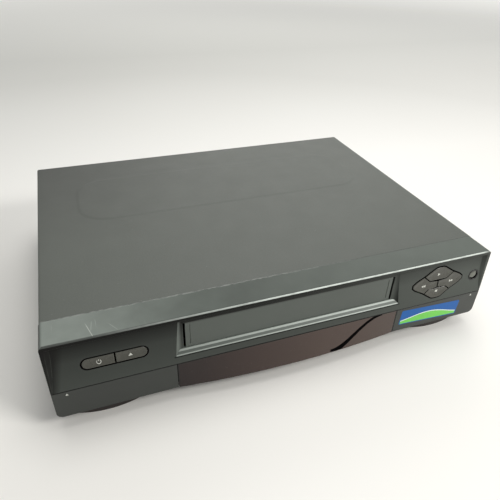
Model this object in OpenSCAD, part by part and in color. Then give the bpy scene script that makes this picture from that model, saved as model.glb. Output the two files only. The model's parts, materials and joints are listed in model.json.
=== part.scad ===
/* [Body] */
// Width of the steel cover
body_w = 390; // [386:1:420]
// Depth of the steel cover, front edge to rear edge
cover_d = 273; // [270:1:320]
// Height of the case, without its feet
body_h = 72; // [71:0.5:90]
// Sheet thickness of the cover
cover_t = 1; // [0.8:0.1:1.4]
// Bend radius along the cover's long top edges
bend_r = 2; // [1.6:0.1:4]
// Width of the shallow stamped field on the cover
field_w = 314; // [200:1:350]
// Depth of that field, front to rear
field_d = 92; // [70:1:160]
// Distance from the stamped field to the cover's rear edge
field_inset = 47; // [30:1:80]
// Height of the feet
foot_h = 14; // [12:0.5:20]
// Width of each front foot
foot_w = 58; // [50:1:64]

/* [Front] */
// Depth of the moulded strip on top of the front
strip_d = 26.7; // [26:0.1:34]
// How far the doors stand ahead of the top edge
face_lead = 1.8; // [1:0.1:3]
// How far the upper face leans back under its lip
face_lean = 4.4; // [3.5:0.1:5]
// Hollow of the upper face, measured from its chord
face_hollow = 0.9; // [0.5:0.1:1.2]
// Height of the lip above the upper face
lip_h = 3.8; // [3.4:0.1:4.5]
// Wall of the front moulding
bezel_t = 2.6; // [2.2:0.1:3]
// Overhang of the front moulding beyond the cover, each side
bezel_over = 0.6; // [0.2:0.1:1]
// Radius of the lower outer corners
corner_r = 5; // [3:0.5:7]
// Height of the lower band of doors and window
band_h = 26.8; // [26:0.1:30]
// Width of the display window
window_w = 204; // [202:1:212]
// How far the window bows forward at its lower edge
window_bow = 6; // [3:0.5:8]
// Wall of the window
window_t = 3; // [2.8:0.1:3.4]
// Thickness of each flip-down door
door_t = 2.5; // [2:0.1:2.7]
// Gap round the doors
door_gap = 0.4; // [0.3:0.1:0.6]

/* [Cassette slot] */
// Width of the cassette slot
slot_w = 190; // [188:1:192]
// Height of the cassette slot
slot_h = 26.2; // [25.6:0.1:27]
// Slot floor above the underside of the case
slot_rise = 37.5; // [37:0.1:39]
// Drop of the sloping sill
sill_h = 3.8; // [2:0.1:4.5]
// Radius of the cove at each end of the slot
cove_r = 7.6; // [7:0.1:8.5]
// Thickness of the slot flap
flap_t = 2; // [1.6:0.1:2.2]
// Gap at each end of the flap
flap_gap = 1.8; // [1:0.1:2.5]

/* [Keys] */
// Height of the key row above the underside of the case
key_rise = 46; // [45:0.5:47]
// Gap round every key
key_gap = 0.35; // [0.25:0.05:0.5]
// Travel of the keys
key_travel = 1.2; // [0.8:0.1:1.5]
// Centre of the power and eject pair from the cover's side
pair_inset = 48; // [44:1:56]
// Width of the power and eject pair
pair_w = 48.5; // [44:0.5:54]
// Height of the power and eject pair
pair_h = 9.6; // [8.6:0.2:11]
// Centre of the tape key cluster from the cover's side
cluster_inset = 52; // [50:1:55]
// Width of the tape key cluster
cluster_w = 56.4; // [52:0.2:58]
// Height of the tape key cluster
cluster_h = 33; // [30:0.2:33.4]
// Height of the middle row of the cluster
cluster_row_h = 8; // [7:0.2:9]
// Centre of the record key from the cover's side
record_inset = 10.6; // [10:0.2:13]
// Diameter of the record key
record_d = 8.4; // [7:0.2:9]
// Width of each channel key
channel_w = 16; // [12:1:20]
// Height of each channel key
channel_h = 6; // [5:0.5:8]

/* [Cassette lift] */
// Depth of the cassette holder
holder_d = 88; // [84:1:90]
// Inside height of the holder
holder_h = 26.5; // [26:0.1:27]
// Sheet thickness of the lift's parts
sheet_t = 1.2; // [1:0.1:1.3]
// Travel of the holder into the machine
carry_in = 42; // [38:1:43]
// Drop of the holder towards the reels
carry_down = 20; // [18:0.5:20.5]
// Radius of the guide pins
guide_pin_r = 1.5; // [1.2:0.1:1.8]
// Teeth of the lift gear
lift_teeth = 20; // [18:1:22]
// Tooth module of the gears
tooth_m = 0.8; // [0.7:0.05:0.85]

/* [Tape deck] */
// Radius of the head drum
drum_r = 31; // [29:0.5:32]
// Height of each half of the head drum
drum_h = 14; // [12:0.5:16]
// Tilt of the head drum
drum_tilt = 6; // [4:0.5:7]
// Distance between the reel spindles
reel_pitch = 92; // [90:0.5:94]
// Radius of the reel tables
reel_r = 24; // [20:0.5:24.5]
// Radius of the capstan shaft
capstan_r = 1.5; // [1.2:0.1:2]
// Radius of the capstan flywheel
flywheel_r = 24; // [18:0.5:25]
// Radius of the pinch roller
roller_r = 6; // [5:0.1:6.5]
// Teeth of the mode gear
mode_teeth = 48; // [44:2:50]
// Teeth of the loading motor's pinion
pinion_teeth = 12; // [11:1:14]

/* [Rear] */
// Radius of the antenna sockets' barrels
antenna_r = 4.75; // [4:0.05:5]
// Reach of the antenna sockets behind the cover
antenna_reach = 10; // [9:0.5:14]
// Radius of the phono sockets' barrels
phono_r = 4.15; // [3.8:0.05:4.5]
// Reach of the phono sockets ahead of their block
phono_reach = 7.5; // [6:0.1:9]
// Spacing of the phono sockets
phono_pitch = 16; // [14:0.5:18]

/* [Hidden] */
$fn = 48;
case_z = foot_h;
top_z = case_z + body_h;
band_z = case_z + band_h;
lip_z = top_z - lip_h;
slot_z = case_z + slot_rise;
slot_top = slot_z + slot_h;
key_z = case_z + key_rise;
half_w = body_w / 2;
bezel_half = half_w + bezel_over;
total_d = window_bow + face_lead + strip_d + cover_d + antenna_reach;
// The cover meets the front moulding at joint_y. Depths below are measured from there.
joint_y = window_bow + face_lead + strip_d - total_d / 2;
strip_y = -strip_d;
face_y = strip_y - face_lead;
rim_y = face_y + window_t;
field_rise = 0.4;
field_r = 30;
edge_r = 1.8;
end_t = 3;
fit = 0.15;
snug = 0.05;
loose = 0.3;
face_steps = 14;

// Depth of the upper face at height z: it leans back and is slightly hollow
function face_part(z) = (lip_z - z) / (lip_z - band_z);
function face_at(z) = face_y + face_lean * (1 - face_part(z))
    + 4 * face_hollow * face_part(z) * (1 - face_part(z));
function face_line(z0, z1, behind) = [for (i = [0:face_steps])
    let (z = z0 + (z1 - z0) * i / face_steps) [face_at(z) + behind, z]];
function arc(c, r, a0, a1, n = 8) = [for (i = [0:n])
    let (a = a0 + (a1 - a0) * i / n) c + r * [cos(a), sin(a)]];
function rounded(w, d, r) = concat(
    arc([w / 2 - r, d / 2 - r], r, 0, 90), arc([r - w / 2, d / 2 - r], r, 90, 180),
    arc([r - w / 2, r - d / 2], r, 180, 270), arc([w / 2 - r, r - d / 2], r, 270, 360));
function roof(half, base, top, r) = concat([[half, base]], arc([half - r, top - r], r, 0, 90),
    arc([r - half, top - r], r, 90, 180), [[-half, base]]);
function turned(a) = [cos(a), sin(a)];

// Gears have straight-sided teeth, a little slim so that they run free
function gear_r(teeth) = teeth * tooth_m / 2;
tooth_shape = [[-1.15, -1.2], [0.9, -0.45], [0.9, 0.45], [-1.15, 1.2]];
function gear(teeth) = [for (i = [0:teeth - 1]) for (p = tooth_shape)
    (gear_r(teeth) + p[0] * tooth_m) * turned((360 * i + 90 * p[1]) / teeth)];

// Slot flap: it hangs from two pins behind the lip
flap_half = slot_w / 2 - flap_gap;
flap_front = face_at(lip_z) + 0.9;
flap_y = flap_front + flap_t / 2;
flap_z = slot_top + 1.8;
flap_drop = flap_z - slot_z - loose;
flap_pin_r = 0.4 * flap_t;

// Doors: each turns on two pins behind its lower edge
door_pin_r = 1.1;
door_pin_y = face_y + door_t + 1.9;
door_pin_z = case_z + 3;
door_inner = window_w / 2 + door_gap / 2;
niche_y = -15;
niche_back = niche_y + bezel_t;
view_half = 62;
floor_y = door_pin_y + door_pin_z - case_z + 2 * door_gap;
floor_t = 2.4;
rib_t = 2.6;
rim_step = 1.8;
rim_reach = 5;

// Front circuit board and what presses on it
board_t = 1.6;
front_board_y = -7;
switch_h = 5;
stem_r = 1.6;
tab_t = 1.2;
stem_end = front_board_y - switch_h - key_travel - 0.1;
key_back = face_at(lip_z) + bezel_t + 2.2;
pair_x = -(half_w - pair_inset);
cluster_x = half_w - cluster_inset;
cluster_z = key_z + 1.2;
row_z = cluster_z - 1.5;
split_x = 9;
play_z = cluster_z + cluster_h / 4 + 1.6;
stop_z = cluster_z - cluster_h / 4 - 2.4;
row_top = row_z + cluster_row_h / 2;
row_bottom = row_z - cluster_row_h / 2;
record_x = half_w - record_inset;
ring_w = 1.5;
channel_x = half_w - 43;
channel_gap = 6;
channel_z = case_z + 13;
channel_step = (channel_w + channel_gap) / 2;
av_x = 45 - half_w;
av_z = case_z + 13;

// Cassette lift
deck_z = case_z + 14;
deck_t = 1.2;
deck_top = deck_z + deck_t;
holder_y = flap_y + flap_drop + 1.5;
holder_z = slot_z - 0.2 - sheet_t;
holder_top = holder_z + 2 * sheet_t + holder_h;
holder_half = slot_w / 2;
carriage_x = holder_half + sheet_t + 1;
rack_x = carriage_x + sheet_t;
rack_t = 2.8;
frame_x = rack_x + rack_t + 1;
deck_half_w = frame_x + 7.8;
carriage_y = holder_y + 8;
carriage_d = 75;
carriage_z = deck_top + 4.8;
carriage_top = holder_top + 1.6;
holder_pins_y = [holder_y + 23, holder_y + 68];
holder_pin_z = holder_z + 12;
guide_pins_y = [carriage_y + 6, carriage_y + carriage_d - 6];
guide_pin_z = holder_z + 20;
gear_y = carriage_y + 52;
rack_z = carriage_z + 3.4;
gear_z = rack_z + gear_r(lift_teeth);
frame_y = [holder_y + 3, holder_y + holder_d + carry_in + 12];

// Tape deck
deck_y = [2, 225];
reel_y = holder_y + carry_in + 35;
reel_x = reel_pitch / 2;
reel_t = 3;
reel_post_r = 1.5;
drum_y = holder_y + holder_d + carry_in + drum_r + 14;
drum_z = deck_top + 5;
spindle_h = 17;
capstan_at = [66, drum_y - 30];
capstan_top = deck_top + 25;
flywheel_z = deck_z - 7;
pulley_z = flywheel_z - 3;
capstan_pulley_r = 10;
clutch_r = 15;
clutch_at = [0, reel_y + 34.5];
idler_reach = 26;
idler_swing = 15;
idler_at = clutch_at - [0, idler_reach];
idler_near = clutch_at + idler_reach * turned(idler_swing - 90);
idler_r = norm([reel_x, reel_y] - idler_near) - reel_r - fit;
pinch_pivot = capstan_at + [28, 6];
pinch_reach = norm(pinch_pivot - capstan_at);
pinch_gap = roller_r + capstan_r + fit;
pinch_swing = 30;
pinch_angle = 180 + atan2(6, 28) + 2 * asin(pinch_gap / 2 / pinch_reach) + pinch_swing;
roller_at = pinch_pivot + pinch_reach * turned(pinch_angle);
guide_from = [30, drum_y - 56];
guide_to = [46, drum_y + 4];
guide_run = norm(guide_to - guide_from);
guide_angle = atan2(guide_to[1] - guide_from[1], guide_to[0] - guide_from[0]);
mode_at = [-62, drum_y + 10];
pinion_at = mode_at + (gear_r(mode_teeth) + gear_r(pinion_teeth)) * turned(135);
mode_z = deck_z - 6;
mode_t = 3;
pinion_shaft_r = 1.9;
tension_at = [-88, drum_y - 32];
tension_reach = 27;
tension_angle = -42;
audio_at = [58, drum_y - 14];
erase_at = [-58, drum_y - 17];

// Case, boards and rear
tray_half = half_w - cover_t - 0.2;
tray_t = 1.6;
tray_wall_h = 14;
rear_t = 1.5;
rear_y = cover_d - cover_t;
rear_in = rear_y - rear_t;
screw_r = 1.45;
screw_head_r = 3.4;
screw_head_t = 1.6;
flange_h = 9;
board_z = case_z + 6;
board_top = board_z + board_t;
main_x0 = deck_half_w + 4;
main_edge = tray_half - 4;
main_y = [12, rear_in - 2];
strip_y0 = deck_y[1] + 4;
power_y = [20, 150];
power_x = -(main_x0 + main_edge) / 2;
antenna_xs = [half_w - 63, half_w - 43];
antenna_z = top_z - 22;
tuner_d = 38;
phono_x = 72;
phono_z = [board_top + 12, board_top + 12 + phono_pitch];
phono_block_d = 14;
rear_phono_reach = phono_reach + rear_t + cover_t;
inlet_x = 43 - half_w;
inlet_z = board_top + 14;
inlet_w = 20;
inlet_h = 13;
feet_x = half_w - 37.5;
rear_foot_r = 12;
rear_foot_y = cover_d - 36;

// Placing helpers: solids between two corners, rods and extruded outlines along each axis
module at_joint() { translate([0, joint_y, 0]) children(); }
module block(lo, hi) { translate(lo) cube(hi - lo); }
module rod_x(x0, x1, y, z, r) { translate([x0, y, z]) rotate([0, 90, 0]) cylinder(h = x1 - x0, r = r); }
module rod_y(y0, y1, x, z, r) { translate([x, y1, z]) rotate([90, 0, 0]) cylinder(h = y1 - y0, r = r); }
module rod_z(z0, z1, at, r) { translate([at[0], at[1], z0]) cylinder(h = z1 - z0, r = r); }
module along_x(x0, x1) { translate([x0, 0, 0]) rotate([90, 0, 90]) linear_extrude(x1 - x0) children(); }
module along_y(y0, y1) { translate([0, y1, 0]) rotate([90, 0, 0]) linear_extrude(y1 - y0) children(); }
module along_z(z0, z1) { translate([0, 0, z0]) linear_extrude(z1 - z0) children(); }
module both_sides() { children(); mirror([1, 0, 0]) children(); }
module tube_z(z0, z1, at, r, bore) {
    difference() {
        rod_z(z0, z1, at, r);
        rod_z(z0 - 1, z1 + 1, at, bore);
    }
}

// The cover is one folded sheet with a turned rear flange and a stamped field
module top_cover() {
    slots = 9;
    slot_pitch = 9;
    color("dimgray") at_joint() difference() {
        union() {
            along_y(0, cover_d) polygon(roof(half_w, case_z, top_z, bend_r));
            translate([0, cover_d - field_inset - field_d / 2, 0])
                along_z(top_z - cover_t, top_z + field_rise) polygon(rounded(field_w, field_d, field_r));
        }
        along_y(-1, cover_d - cover_t)
            polygon(roof(half_w - cover_t, case_z - 1, top_z - cover_t, bend_r - cover_t));
        along_y(-1, cover_d + 1)
            polygon(roof(half_w - flange_h, case_z - 1, top_z - flange_h, bend_r));
        translate([0, cover_d - field_inset - field_d / 2, 0]) along_z(top_z - 2 * cover_t,
            top_z + field_rise - cover_t) polygon(rounded(field_w - 2, field_d - 2, field_r - 1));
        rear_screw_holes(screw_r + 0.25);
        for (i = [0:slots - 1]) both_sides() let (y = cover_d - 40 - i * slot_pitch)
            block([half_w - 2, y, case_z + 24], [half_w + 1, y + 3, case_z + 46]);
    }
}

module rear_screw_holes(r) {
    for (at = screw_places) rod_y(rear_in - 9, cover_d + 2, at[0], at[1], r);
}
side_screw_z = case_z + 12;
screw_places = [[45 - half_w, top_z - 5], [0, top_z - 5], [half_w - 45, top_z - 5],
    [5 - half_w, side_screw_z], [half_w - 5, side_screw_z]];

module cover_screws() {
    color("silver") at_joint() for (at = screw_places) {
        difference() {
            rod_y(cover_d, cover_d + screw_head_t, at[0], at[1], screw_head_r);
            block([at[0] - 2.2, cover_d + 0.8, at[1] - 0.45], [at[0] + 2.2, cover_d + 3, at[1] + 0.45]);
            block([at[0] - 0.45, cover_d + 0.8, at[1] - 2.2], [at[0] + 0.45, cover_d + 3, at[1] + 2.2]);
        }
        rod_y(rear_in - 6, cover_d, at[0], at[1], screw_r);
    }
}

// The tray carries the boards on short posts and the deck on four pillars
module bottom_tray() {
    post_r = 3.2;
    pillar_r = 4.5;
    vents = 10;
    color("darkslategray") at_joint() difference() {
        union() {
            block([-tray_half, fit, case_z], [tray_half, rear_in, case_z + tray_t]);
            both_sides() block([tray_half - tray_t, rim_reach + 1, case_z],
                [tray_half, rear_in, case_z + tray_wall_h]);
            for (at = post_places) rod_z(case_z, board_z, at, post_r);
            both_sides() for (y = pillar_ys) rod_z(case_z, deck_z, [deck_half_w - 7, y], pillar_r);
            both_sides() rod_y(rear_in - 9, rear_in, half_w - 5, side_screw_z, screw_head_r);
        }
        both_sides() for (i = [0:vents - 1]) let (y = 48 + i * 9)
            block([half_w - 67, y, case_z - 1], [half_w - 23, y + 4, case_z + tray_t + 1]);
        rear_screw_holes(screw_r + snug);
    }
}
pillar_ys = [16, deck_y[1] - 14];
post_places = concat([for (x = [-main_edge + 6, -main_x0 - 5]) for (y = power_y + [5, -5]) [x, y]],
    [for (x = [6 - main_edge, 0, main_edge - 6]) [x, strip_y0 + 6]],
    [[main_x0 + 5, main_y[0] + 5], [main_edge - 6, main_y[0] + 5], [main_edge - 6, 130]]);

module rear_panel() {
    slots = 12;
    color("gray") at_joint() difference() {
        along_y(rear_in, rear_y) polygon(roof(tray_half, case_z + tray_t, top_z - cover_t - 0.2, bend_r));
        rear_screw_holes(screw_r + snug);
        for (x = antenna_xs) rod_y(rear_in - 1, rear_y + 1, x, antenna_z, antenna_r + 1);
        block([phono_x - phono_pitch - phono_r - 2, rear_in - 1, phono_z[0] - phono_r - 2],
            [phono_x + phono_pitch + phono_r + 2, rear_y + 1, phono_z[1] + phono_r + 2]);
        block([inlet_x - inlet_w / 2 - fit, rear_in - 1, inlet_z - inlet_h / 2 - fit],
            [inlet_x + inlet_w / 2 + fit, rear_y + 1, inlet_z + inlet_h / 2 + fit]);
        for (i = [0:slots - 1]) let (x = -110 + i * 10)
            block([x, rear_in - 1, top_z - 34], [x + 4, rear_y + 1, top_z - 14]);
    }
}

// The front moulding: top strip, lip, hollow upper face and end cheeks
module front_bezel() {
    color([0.27, 0.27, 0.26]) at_joint() difference() {
        union() {
            difference() {
                union() {
                    along_x(-bezel_half, bezel_half) polygon(bezel_outline());
                    bezel_cheeks();
                }
                along_x(end_t - bezel_half, bezel_half - end_t) polygon(bezel_hollow());
            }
            bezel_rim(band_z, top_z);
            slot_surround();
            for (at = upper_posts) rod_y(face_at(at[1]) + 1, front_board_y, at[0], at[1], post_r);
        }
        slot_opening();
        along_y(face_y - 3, key_back) pair_outline(key_gap);
        along_y(face_y - 3, key_back) polygon(cluster_outline(key_gap));
        rod_y(face_y - 3, key_back, record_x, key_z, record_d / 2 + ring_w);
        both_sides() rod_x(flap_half, slot_w / 2 + 3, flap_y, flap_z, flap_pin_r + snug);
    }
}
function bezel_outline() = concat([[0, band_z], [0, top_z]],
    arc([strip_y + edge_r, top_z - edge_r], edge_r, 90, 180), [[strip_y, lip_z]],
    face_line(lip_z, band_z, 0));
function bezel_hollow() = concat([[1, top_z - bezel_t], [face_at(lip_z) + bezel_t, top_z - bezel_t]],
    face_line(lip_z, band_z + bezel_t, bezel_t),
    [[niche_back, band_z + bezel_t], [niche_back, band_z - 1], [1, band_z - 1]]);
module bezel_cheeks() {
    rim = 1;
    slope_w = 7;
    slope_d = 6;
    intersection() {
        along_x(-bezel_half, bezel_half)
            polygon([[0, band_z], [0, lip_z + 1], [strip_y, lip_z + 1], [strip_y, lip_z], [face_y, band_z]]);
        both_sides() along_z(band_z, lip_z + 1) polygon([[bezel_half, 0], [bezel_half, face_y - 1],
            [bezel_half - rim, face_y - 1], [bezel_half - rim, face_y],
            [bezel_half - rim - slope_w, face_y + slope_d], [bezel_half - rim - slope_w, 0]]);
    }
}
// A rim at the back slips inside the cover
module bezel_rim(z0, z1) {
    half = half_w - cover_t - fit;
    top = top_z - cover_t - fit;
    along_y(-2, rim_reach) intersection() {
        difference() {
            polygon(roof(half, case_z + 3, top, bend_r));
            polygon(roof(half - rim_step, case_z + 2, top - rim_step, bend_r));
        }
        translate([-half, z0]) square([2 * half, z1 - z0]);
    }
}
// The lower panel: end walls, floor and the wall at the back of both niches
module niche_panel() {
    color([0.27, 0.27, 0.26]) at_joint() difference() {
        union() {
            niche_walls();
            bezel_rim(case_z, band_z);
            for (at = lower_posts) rod_y(niche_back - 1, front_board_y, at[0], at[1], post_r);
        }
        for (i = [-1, 1]) along_y(niche_y - 1, niche_back + 1)
            translate([channel_x + i * channel_step, channel_z])
                square([channel_w, channel_h] + 2 * key_gap * [1, 1], center = true);
        for (i = [-1:1]) rod_y(niche_y - 1, niche_back + 1, av_x + i * phono_pitch, av_z, phono_r + loose);
        block([-view_half, niche_y - 1, case_z + 5], [view_half, niche_back + 1, band_z - 4]);
        both_sides()
            rod_x(window_w / 2 - rib_t, bezel_half - 1.2, door_pin_y, door_pin_z, door_pin_r + snug);
        both_sides() door_relief();
    }
}
module niche_walls() {
    inner = bezel_half - end_t;
    intersection() {
        union() {
            both_sides() block([inner, rim_y, case_z], [bezel_half, 0, band_z]);
            block([-bezel_half, floor_y, case_z], [bezel_half, 0, case_z + floor_t]);
            block([-inner - 1, niche_y, case_z], [inner + 1, niche_back, band_z]);
            both_sides() block([window_w / 2 - rib_t, rim_y, case_z],
                [window_w / 2 - loose, niche_back, band_z]);
            block([rib_t - window_w / 2, rim_y, case_z],
                [window_w / 2 - rib_t, floor_y + 1, case_z + floor_t]);
        }
        along_y(face_y, 1) polygon(concat([[bezel_half, top_z], [-bezel_half, top_z]],
            arc([corner_r - bezel_half, case_z + corner_r], corner_r, 180, 270),
            arc([bezel_half - corner_r, case_z + corner_r], corner_r, 270, 360)));
    }
}
// The end walls are rounded off under the door pins, where the doors' lower edges swing back
module door_relief() {
    near = door_pin_r + 0.65;
    x0 = bezel_half - end_t - 0.5;
    difference() {
        block([x0, face_y, case_z - 1], [bezel_half + 1, floor_y - loose, door_pin_z]);
        rod_x(x0 - 1, bezel_half + 2, door_pin_y, door_pin_z, near);
        block([x0 - 1, door_pin_y, door_pin_z - near], [bezel_half + 2, 0, door_pin_z + 1]);
    }
}
module slot_surround() {
    back = flap_y + flap_t + 1;
    reach = slot_w / 2 + 8;
    intersection() {
        union() {
            both_sides() block([slot_w / 2, face_y, slot_z - 8], [reach, back, lip_z + 1]);
            block([-reach, face_y, slot_z - 8], [reach, back - 1, slot_z]);
        }
        along_x(-reach, reach) polygon(concat([[0, band_z], [0, lip_z + 1], [face_at(lip_z), lip_z + 1]],
            face_line(lip_z, band_z, 0)));
    }
}
module slot_opening() {
    inner = flap_front - 0.2;
    cove_y = inner - cove_r;
    cove_top = slot_top + 2.6;
    block([-slot_w / 2, face_y - 9, slot_z], [slot_w / 2, 1, slot_top]);
    block([-slot_w / 2, inner, slot_z], [slot_w / 2, 1, lip_z]);
    intersection() {
        union() {
            block([-slot_w / 2, face_y - 9, slot_z - 9], [slot_w / 2, inner, slot_top]);
            both_sides() translate([0, 0, slot_z - 9]) intersection() {
                translate([slot_w / 2 + 0.5, cove_y, 0]) cylinder(h = cove_top - slot_z + 9, r = cove_r);
                block([slot_w / 2 - 0.01, face_y - 12, 0], [slot_w, 0, 60]);
            }
        }
        along_x(-slot_w, slot_w) polygon([[0, slot_z], [inner, slot_z],
            [inner - 2 * sill_h, slot_z - 2 * sill_h], [inner - 20, slot_z - 2 * sill_h],
            [inner - 20, cove_top], [0, cove_top]]);
    }
}
// Posts that carry the front circuit board
post_r = 2.6;
upper_posts = [[14 - half_w, case_z + 52], [-slot_w / 2 - 17, case_z + 52], [slot_w / 2 + 13, case_z + 36],
    [half_w - 14, case_z + 60]];
lower_posts = [[-view_half - 26, case_z + 21], [-view_half - 10, case_z + 8], [view_half + 20, case_z + 8],
    [window_w / 2 + 18, case_z + 21], [half_w - 11, case_z + 8]];

// The window bows forward towards its lower edge and has a foot that reaches back to the moulding
window_steps = 24;
window_foot = 2;
function window_lead(i) = window_bow * (1 - 0.98 * pow(2 * i / window_steps - 1, 2));
function window_ring(x, b) = let (zt = band_z - door_gap, zf = case_z + window_foot)
    [[x, face_y, zt], [x, face_y - b, case_z], [x, rim_y, case_z], [x, rim_y, zf],
     [x, rim_y - b * (zt - zf) / (zt - case_z), zf], [x, rim_y, zt]];
module display_window() {
    half = window_w / 2 - door_gap / 2;
    n = 6;
    points = [for (i = [0:window_steps]) each
        window_ring((half + 0.5) * (2 * i / window_steps - 1), window_lead(i))];
    sides = [for (i = [0:window_steps - 1]) for (k = [0:n - 1])
        let (a = n * i + k, b = n * i + (k + 1) % n) each [[a, b + n, b], [a, a + n, b + n]]];
    ends = [[for (k = [0:n - 1]) k], [for (k = [n - 1:-1:0]) n * window_steps + k]];
    color([0.22, 0.13, 0.12]) at_joint() intersection() {
        polyhedron(points, concat(ends, sides), convexity = 4);
        block([-half, face_y - window_bow - 1, case_z - 1], [half, rim_y + 1, band_z]);
    }
}

// A flip-down door, drawn on the right
module door() {
    lug = 3;
    x0 = door_inner;
    x1 = bezel_half - end_t - loose;
    zt = band_z - door_gap;
    along_y(face_y, face_y + door_t) polygon(concat([[x0, zt], [x0, case_z]],
        arc([bezel_half - corner_r, case_z + corner_r], corner_r, 270, 360), [[bezel_half, zt]]));
    for (x = [x0 + 1, x1 - lug]) {
        rod_x(x, x + lug, door_pin_y, door_pin_z, door_pin_r + 0.9);
        block([x, face_y + 1, door_pin_z - door_pin_r - 0.9],
            [x + lug, door_pin_y, door_pin_z + door_pin_r + 0.9]);
    }
    rod_x(window_w / 2 - rib_t + loose, x0 + 2, door_pin_y, door_pin_z, door_pin_r);
    rod_x(x1 - 1, bezel_half - 1.4, door_pin_y, door_pin_z, door_pin_r);
}
module left_door() { color([0.26, 0.26, 0.25]) at_joint() mirror([1, 0, 0]) door(); }
module right_door() { color([0.26, 0.26, 0.25]) at_joint() door(); }

module cassette_flap() {
    groove = 4;
    color([0.33, 0.34, 0.32]) at_joint() {
        difference() {
            block([-flap_half, flap_front, flap_z - flap_drop], [flap_half, flap_front + flap_t, flap_z]);
            both_sides() block([flap_half - groove, flap_front - 1, slot_z + 3],
                [flap_half - groove + 0.6, flap_front + 0.5, slot_top - 3]);
        }
        rod_x(-flap_half, flap_half, flap_y, flap_z, flap_t / 2);
        rod_x(-slot_w / 2 - 2.5, slot_w / 2 + 2.5, flap_y, flap_z, flap_pin_r);
    }
}
// The spring coils round the flap's left pin and bears on the moulding
module flap_spring() {
    wire = 0.3;
    coil_r = flap_pin_r + snug + wire;
    x0 = -slot_w / 2 + 0.1;
    color("silver") at_joint() difference() {
        union() {
            rod_x(x0, x0 + flap_gap - 0.4, flap_y, flap_z, coil_r);
            block([x0, flap_y, flap_z + coil_r - wire], [x0 + wire, flap_y + 4, flap_z + coil_r]);
        }
        rod_x(x0 - 1, x0 + flap_gap, flap_y, flap_z, flap_pin_r + snug);
    }
}

// Key outlines, seen from the front, grown by g for their holes
module pair_outline(g) {
    polygon(concat(arc([pair_x + (pair_w - pair_h) / 2, key_z], pair_h / 2 + g, -90, 90),
        arc([pair_x - (pair_w - pair_h) / 2, key_z], pair_h / 2 + g, 90, 270)));
}
cluster_corner = [[0.98, 0.09], [0.86, 0.26], [0.55, 0.54], [0.18, 0.97], [0.1, 1]];
function corner_points(g, sx, sz) = [for (p = cluster_corner)
    [cluster_x + sx * p[0] * (cluster_w / 2 + g), cluster_z + sz * p[1] * (cluster_h / 2 + g)]];
function reversed(list) = [for (i = [len(list) - 1:-1:0]) list[i]];
function cluster_outline(g) = concat(corner_points(g, 1, 1), reversed(corner_points(g, -1, 1)),
    corner_points(g, -1, -1), reversed(corner_points(g, 1, -1)));
// Split lines of the cluster: the play key above, the stop key below, kept g apart
function split(side, g) = let (z = row_z + side * (cluster_row_h / 2 + g))
    [[cluster_x - split_x, z], [cluster_x - split_x - 30, z + side * 25],
     [cluster_x + split_x + 30, z + side * 25], [cluster_x + split_x, z]];

// A key cap: its front follows the face, lightly scooped when the key is pressed by a fingertip
module key_cap(proud) {
    intersection() {
        along_y(face_y - 3, key_back) children();
        along_x(-half_w, half_w) polygon(concat([[key_back, lip_z], [face_at(lip_z), lip_z]],
            face_line(lip_z, band_z, -proud), [[key_back, band_z]]));
    }
}
module stem(x, z) { rod_y(key_back - 1, stem_end, x, z, stem_r); }
// A tab behind the wall keeps the key in its hole
module key_tab(x, z, w, h) {
    front = face_at(z + h / 2) + bezel_t + fit;
    block([x - w / 2, front, z - h / 2], [x + w / 2, front + tab_t, z + h / 2]);
}
module pair_key(side) {
    x = pair_x + side * pair_w / 4;
    color([0.3, 0.3, 0.29]) at_joint() {
        key_cap(0.2) intersection() {
            pair_outline(0);
            translate([pair_x + side * (key_gap / 2 + pair_w / 2), key_z])
                square([pair_w, 2 * pair_h], center = true);
        }
        key_tab(x, key_z, 8, pair_h + 3.6);
        block([x - 4, key_back - 3, key_z - 2], [x + 4, key_back, key_z + 2]);
        stem(x, key_z);
    }
}
module power_key() { pair_key(-1); }
module eject_key() { pair_key(1); }
module cluster_key(x, z, tab_x, tab_z, tab_w, tab_h) {
    color([0.29, 0.28, 0.26]) at_joint() {
        key_cap(0.5) children();
        key_tab(tab_x, tab_z, tab_w, tab_h);
        stem(x, z);
    }
}
module play_key() {
    tab_top = cluster_z + cluster_h / 2 + 1.4;
    cluster_key(cluster_x, play_z, cluster_x, (row_top + 1 + tab_top) / 2, 5, tab_top - row_top - 1)
        intersection() {
        polygon(cluster_outline(0));
        polygon(split(1, key_gap / 2));
    }
}
module stop_key() {
    tab_foot = cluster_z - cluster_h / 2 - 1;
    cluster_key(cluster_x, stop_z, cluster_x, (row_bottom - 1 + tab_foot) / 2, 5, row_bottom - 1 - tab_foot)
        intersection() {
        polygon(cluster_outline(0));
        polygon(split(-1, key_gap / 2));
    }
}
module side_key(side) {
    x = cluster_x + side * cluster_w / 4;
    cluster_key(x, row_z, cluster_x + side * (cluster_w / 2 - 5), row_z, 12.6, 3) difference() {
        polygon(cluster_outline(0));
        polygon(split(1, -key_gap / 2));
        polygon(split(-1, -key_gap / 2));
        translate([cluster_x - side * (cluster_w - key_gap / 2), cluster_z])
            square(2 * cluster_w, center = true);
    }
}
module rewind_key() { side_key(-1); }
module forward_key() { side_key(1); }
module record_key() {
    color("silver") at_joint() {
        front = face_at(key_z) - 0.6;
        dome = record_d;
        intersection() {
            rod_y(front, key_back, record_x, key_z, record_d / 2);
            translate([record_x, front + dome, key_z]) sphere(r = dome, $fn = 64);
        }
        rod_y(front + 2, key_back, record_x, key_z, record_d / 2);
        key_tab(record_x, key_z, 3, record_d + 2 * ring_w + 2);
        stem(record_x, key_z);
    }
}
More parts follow.
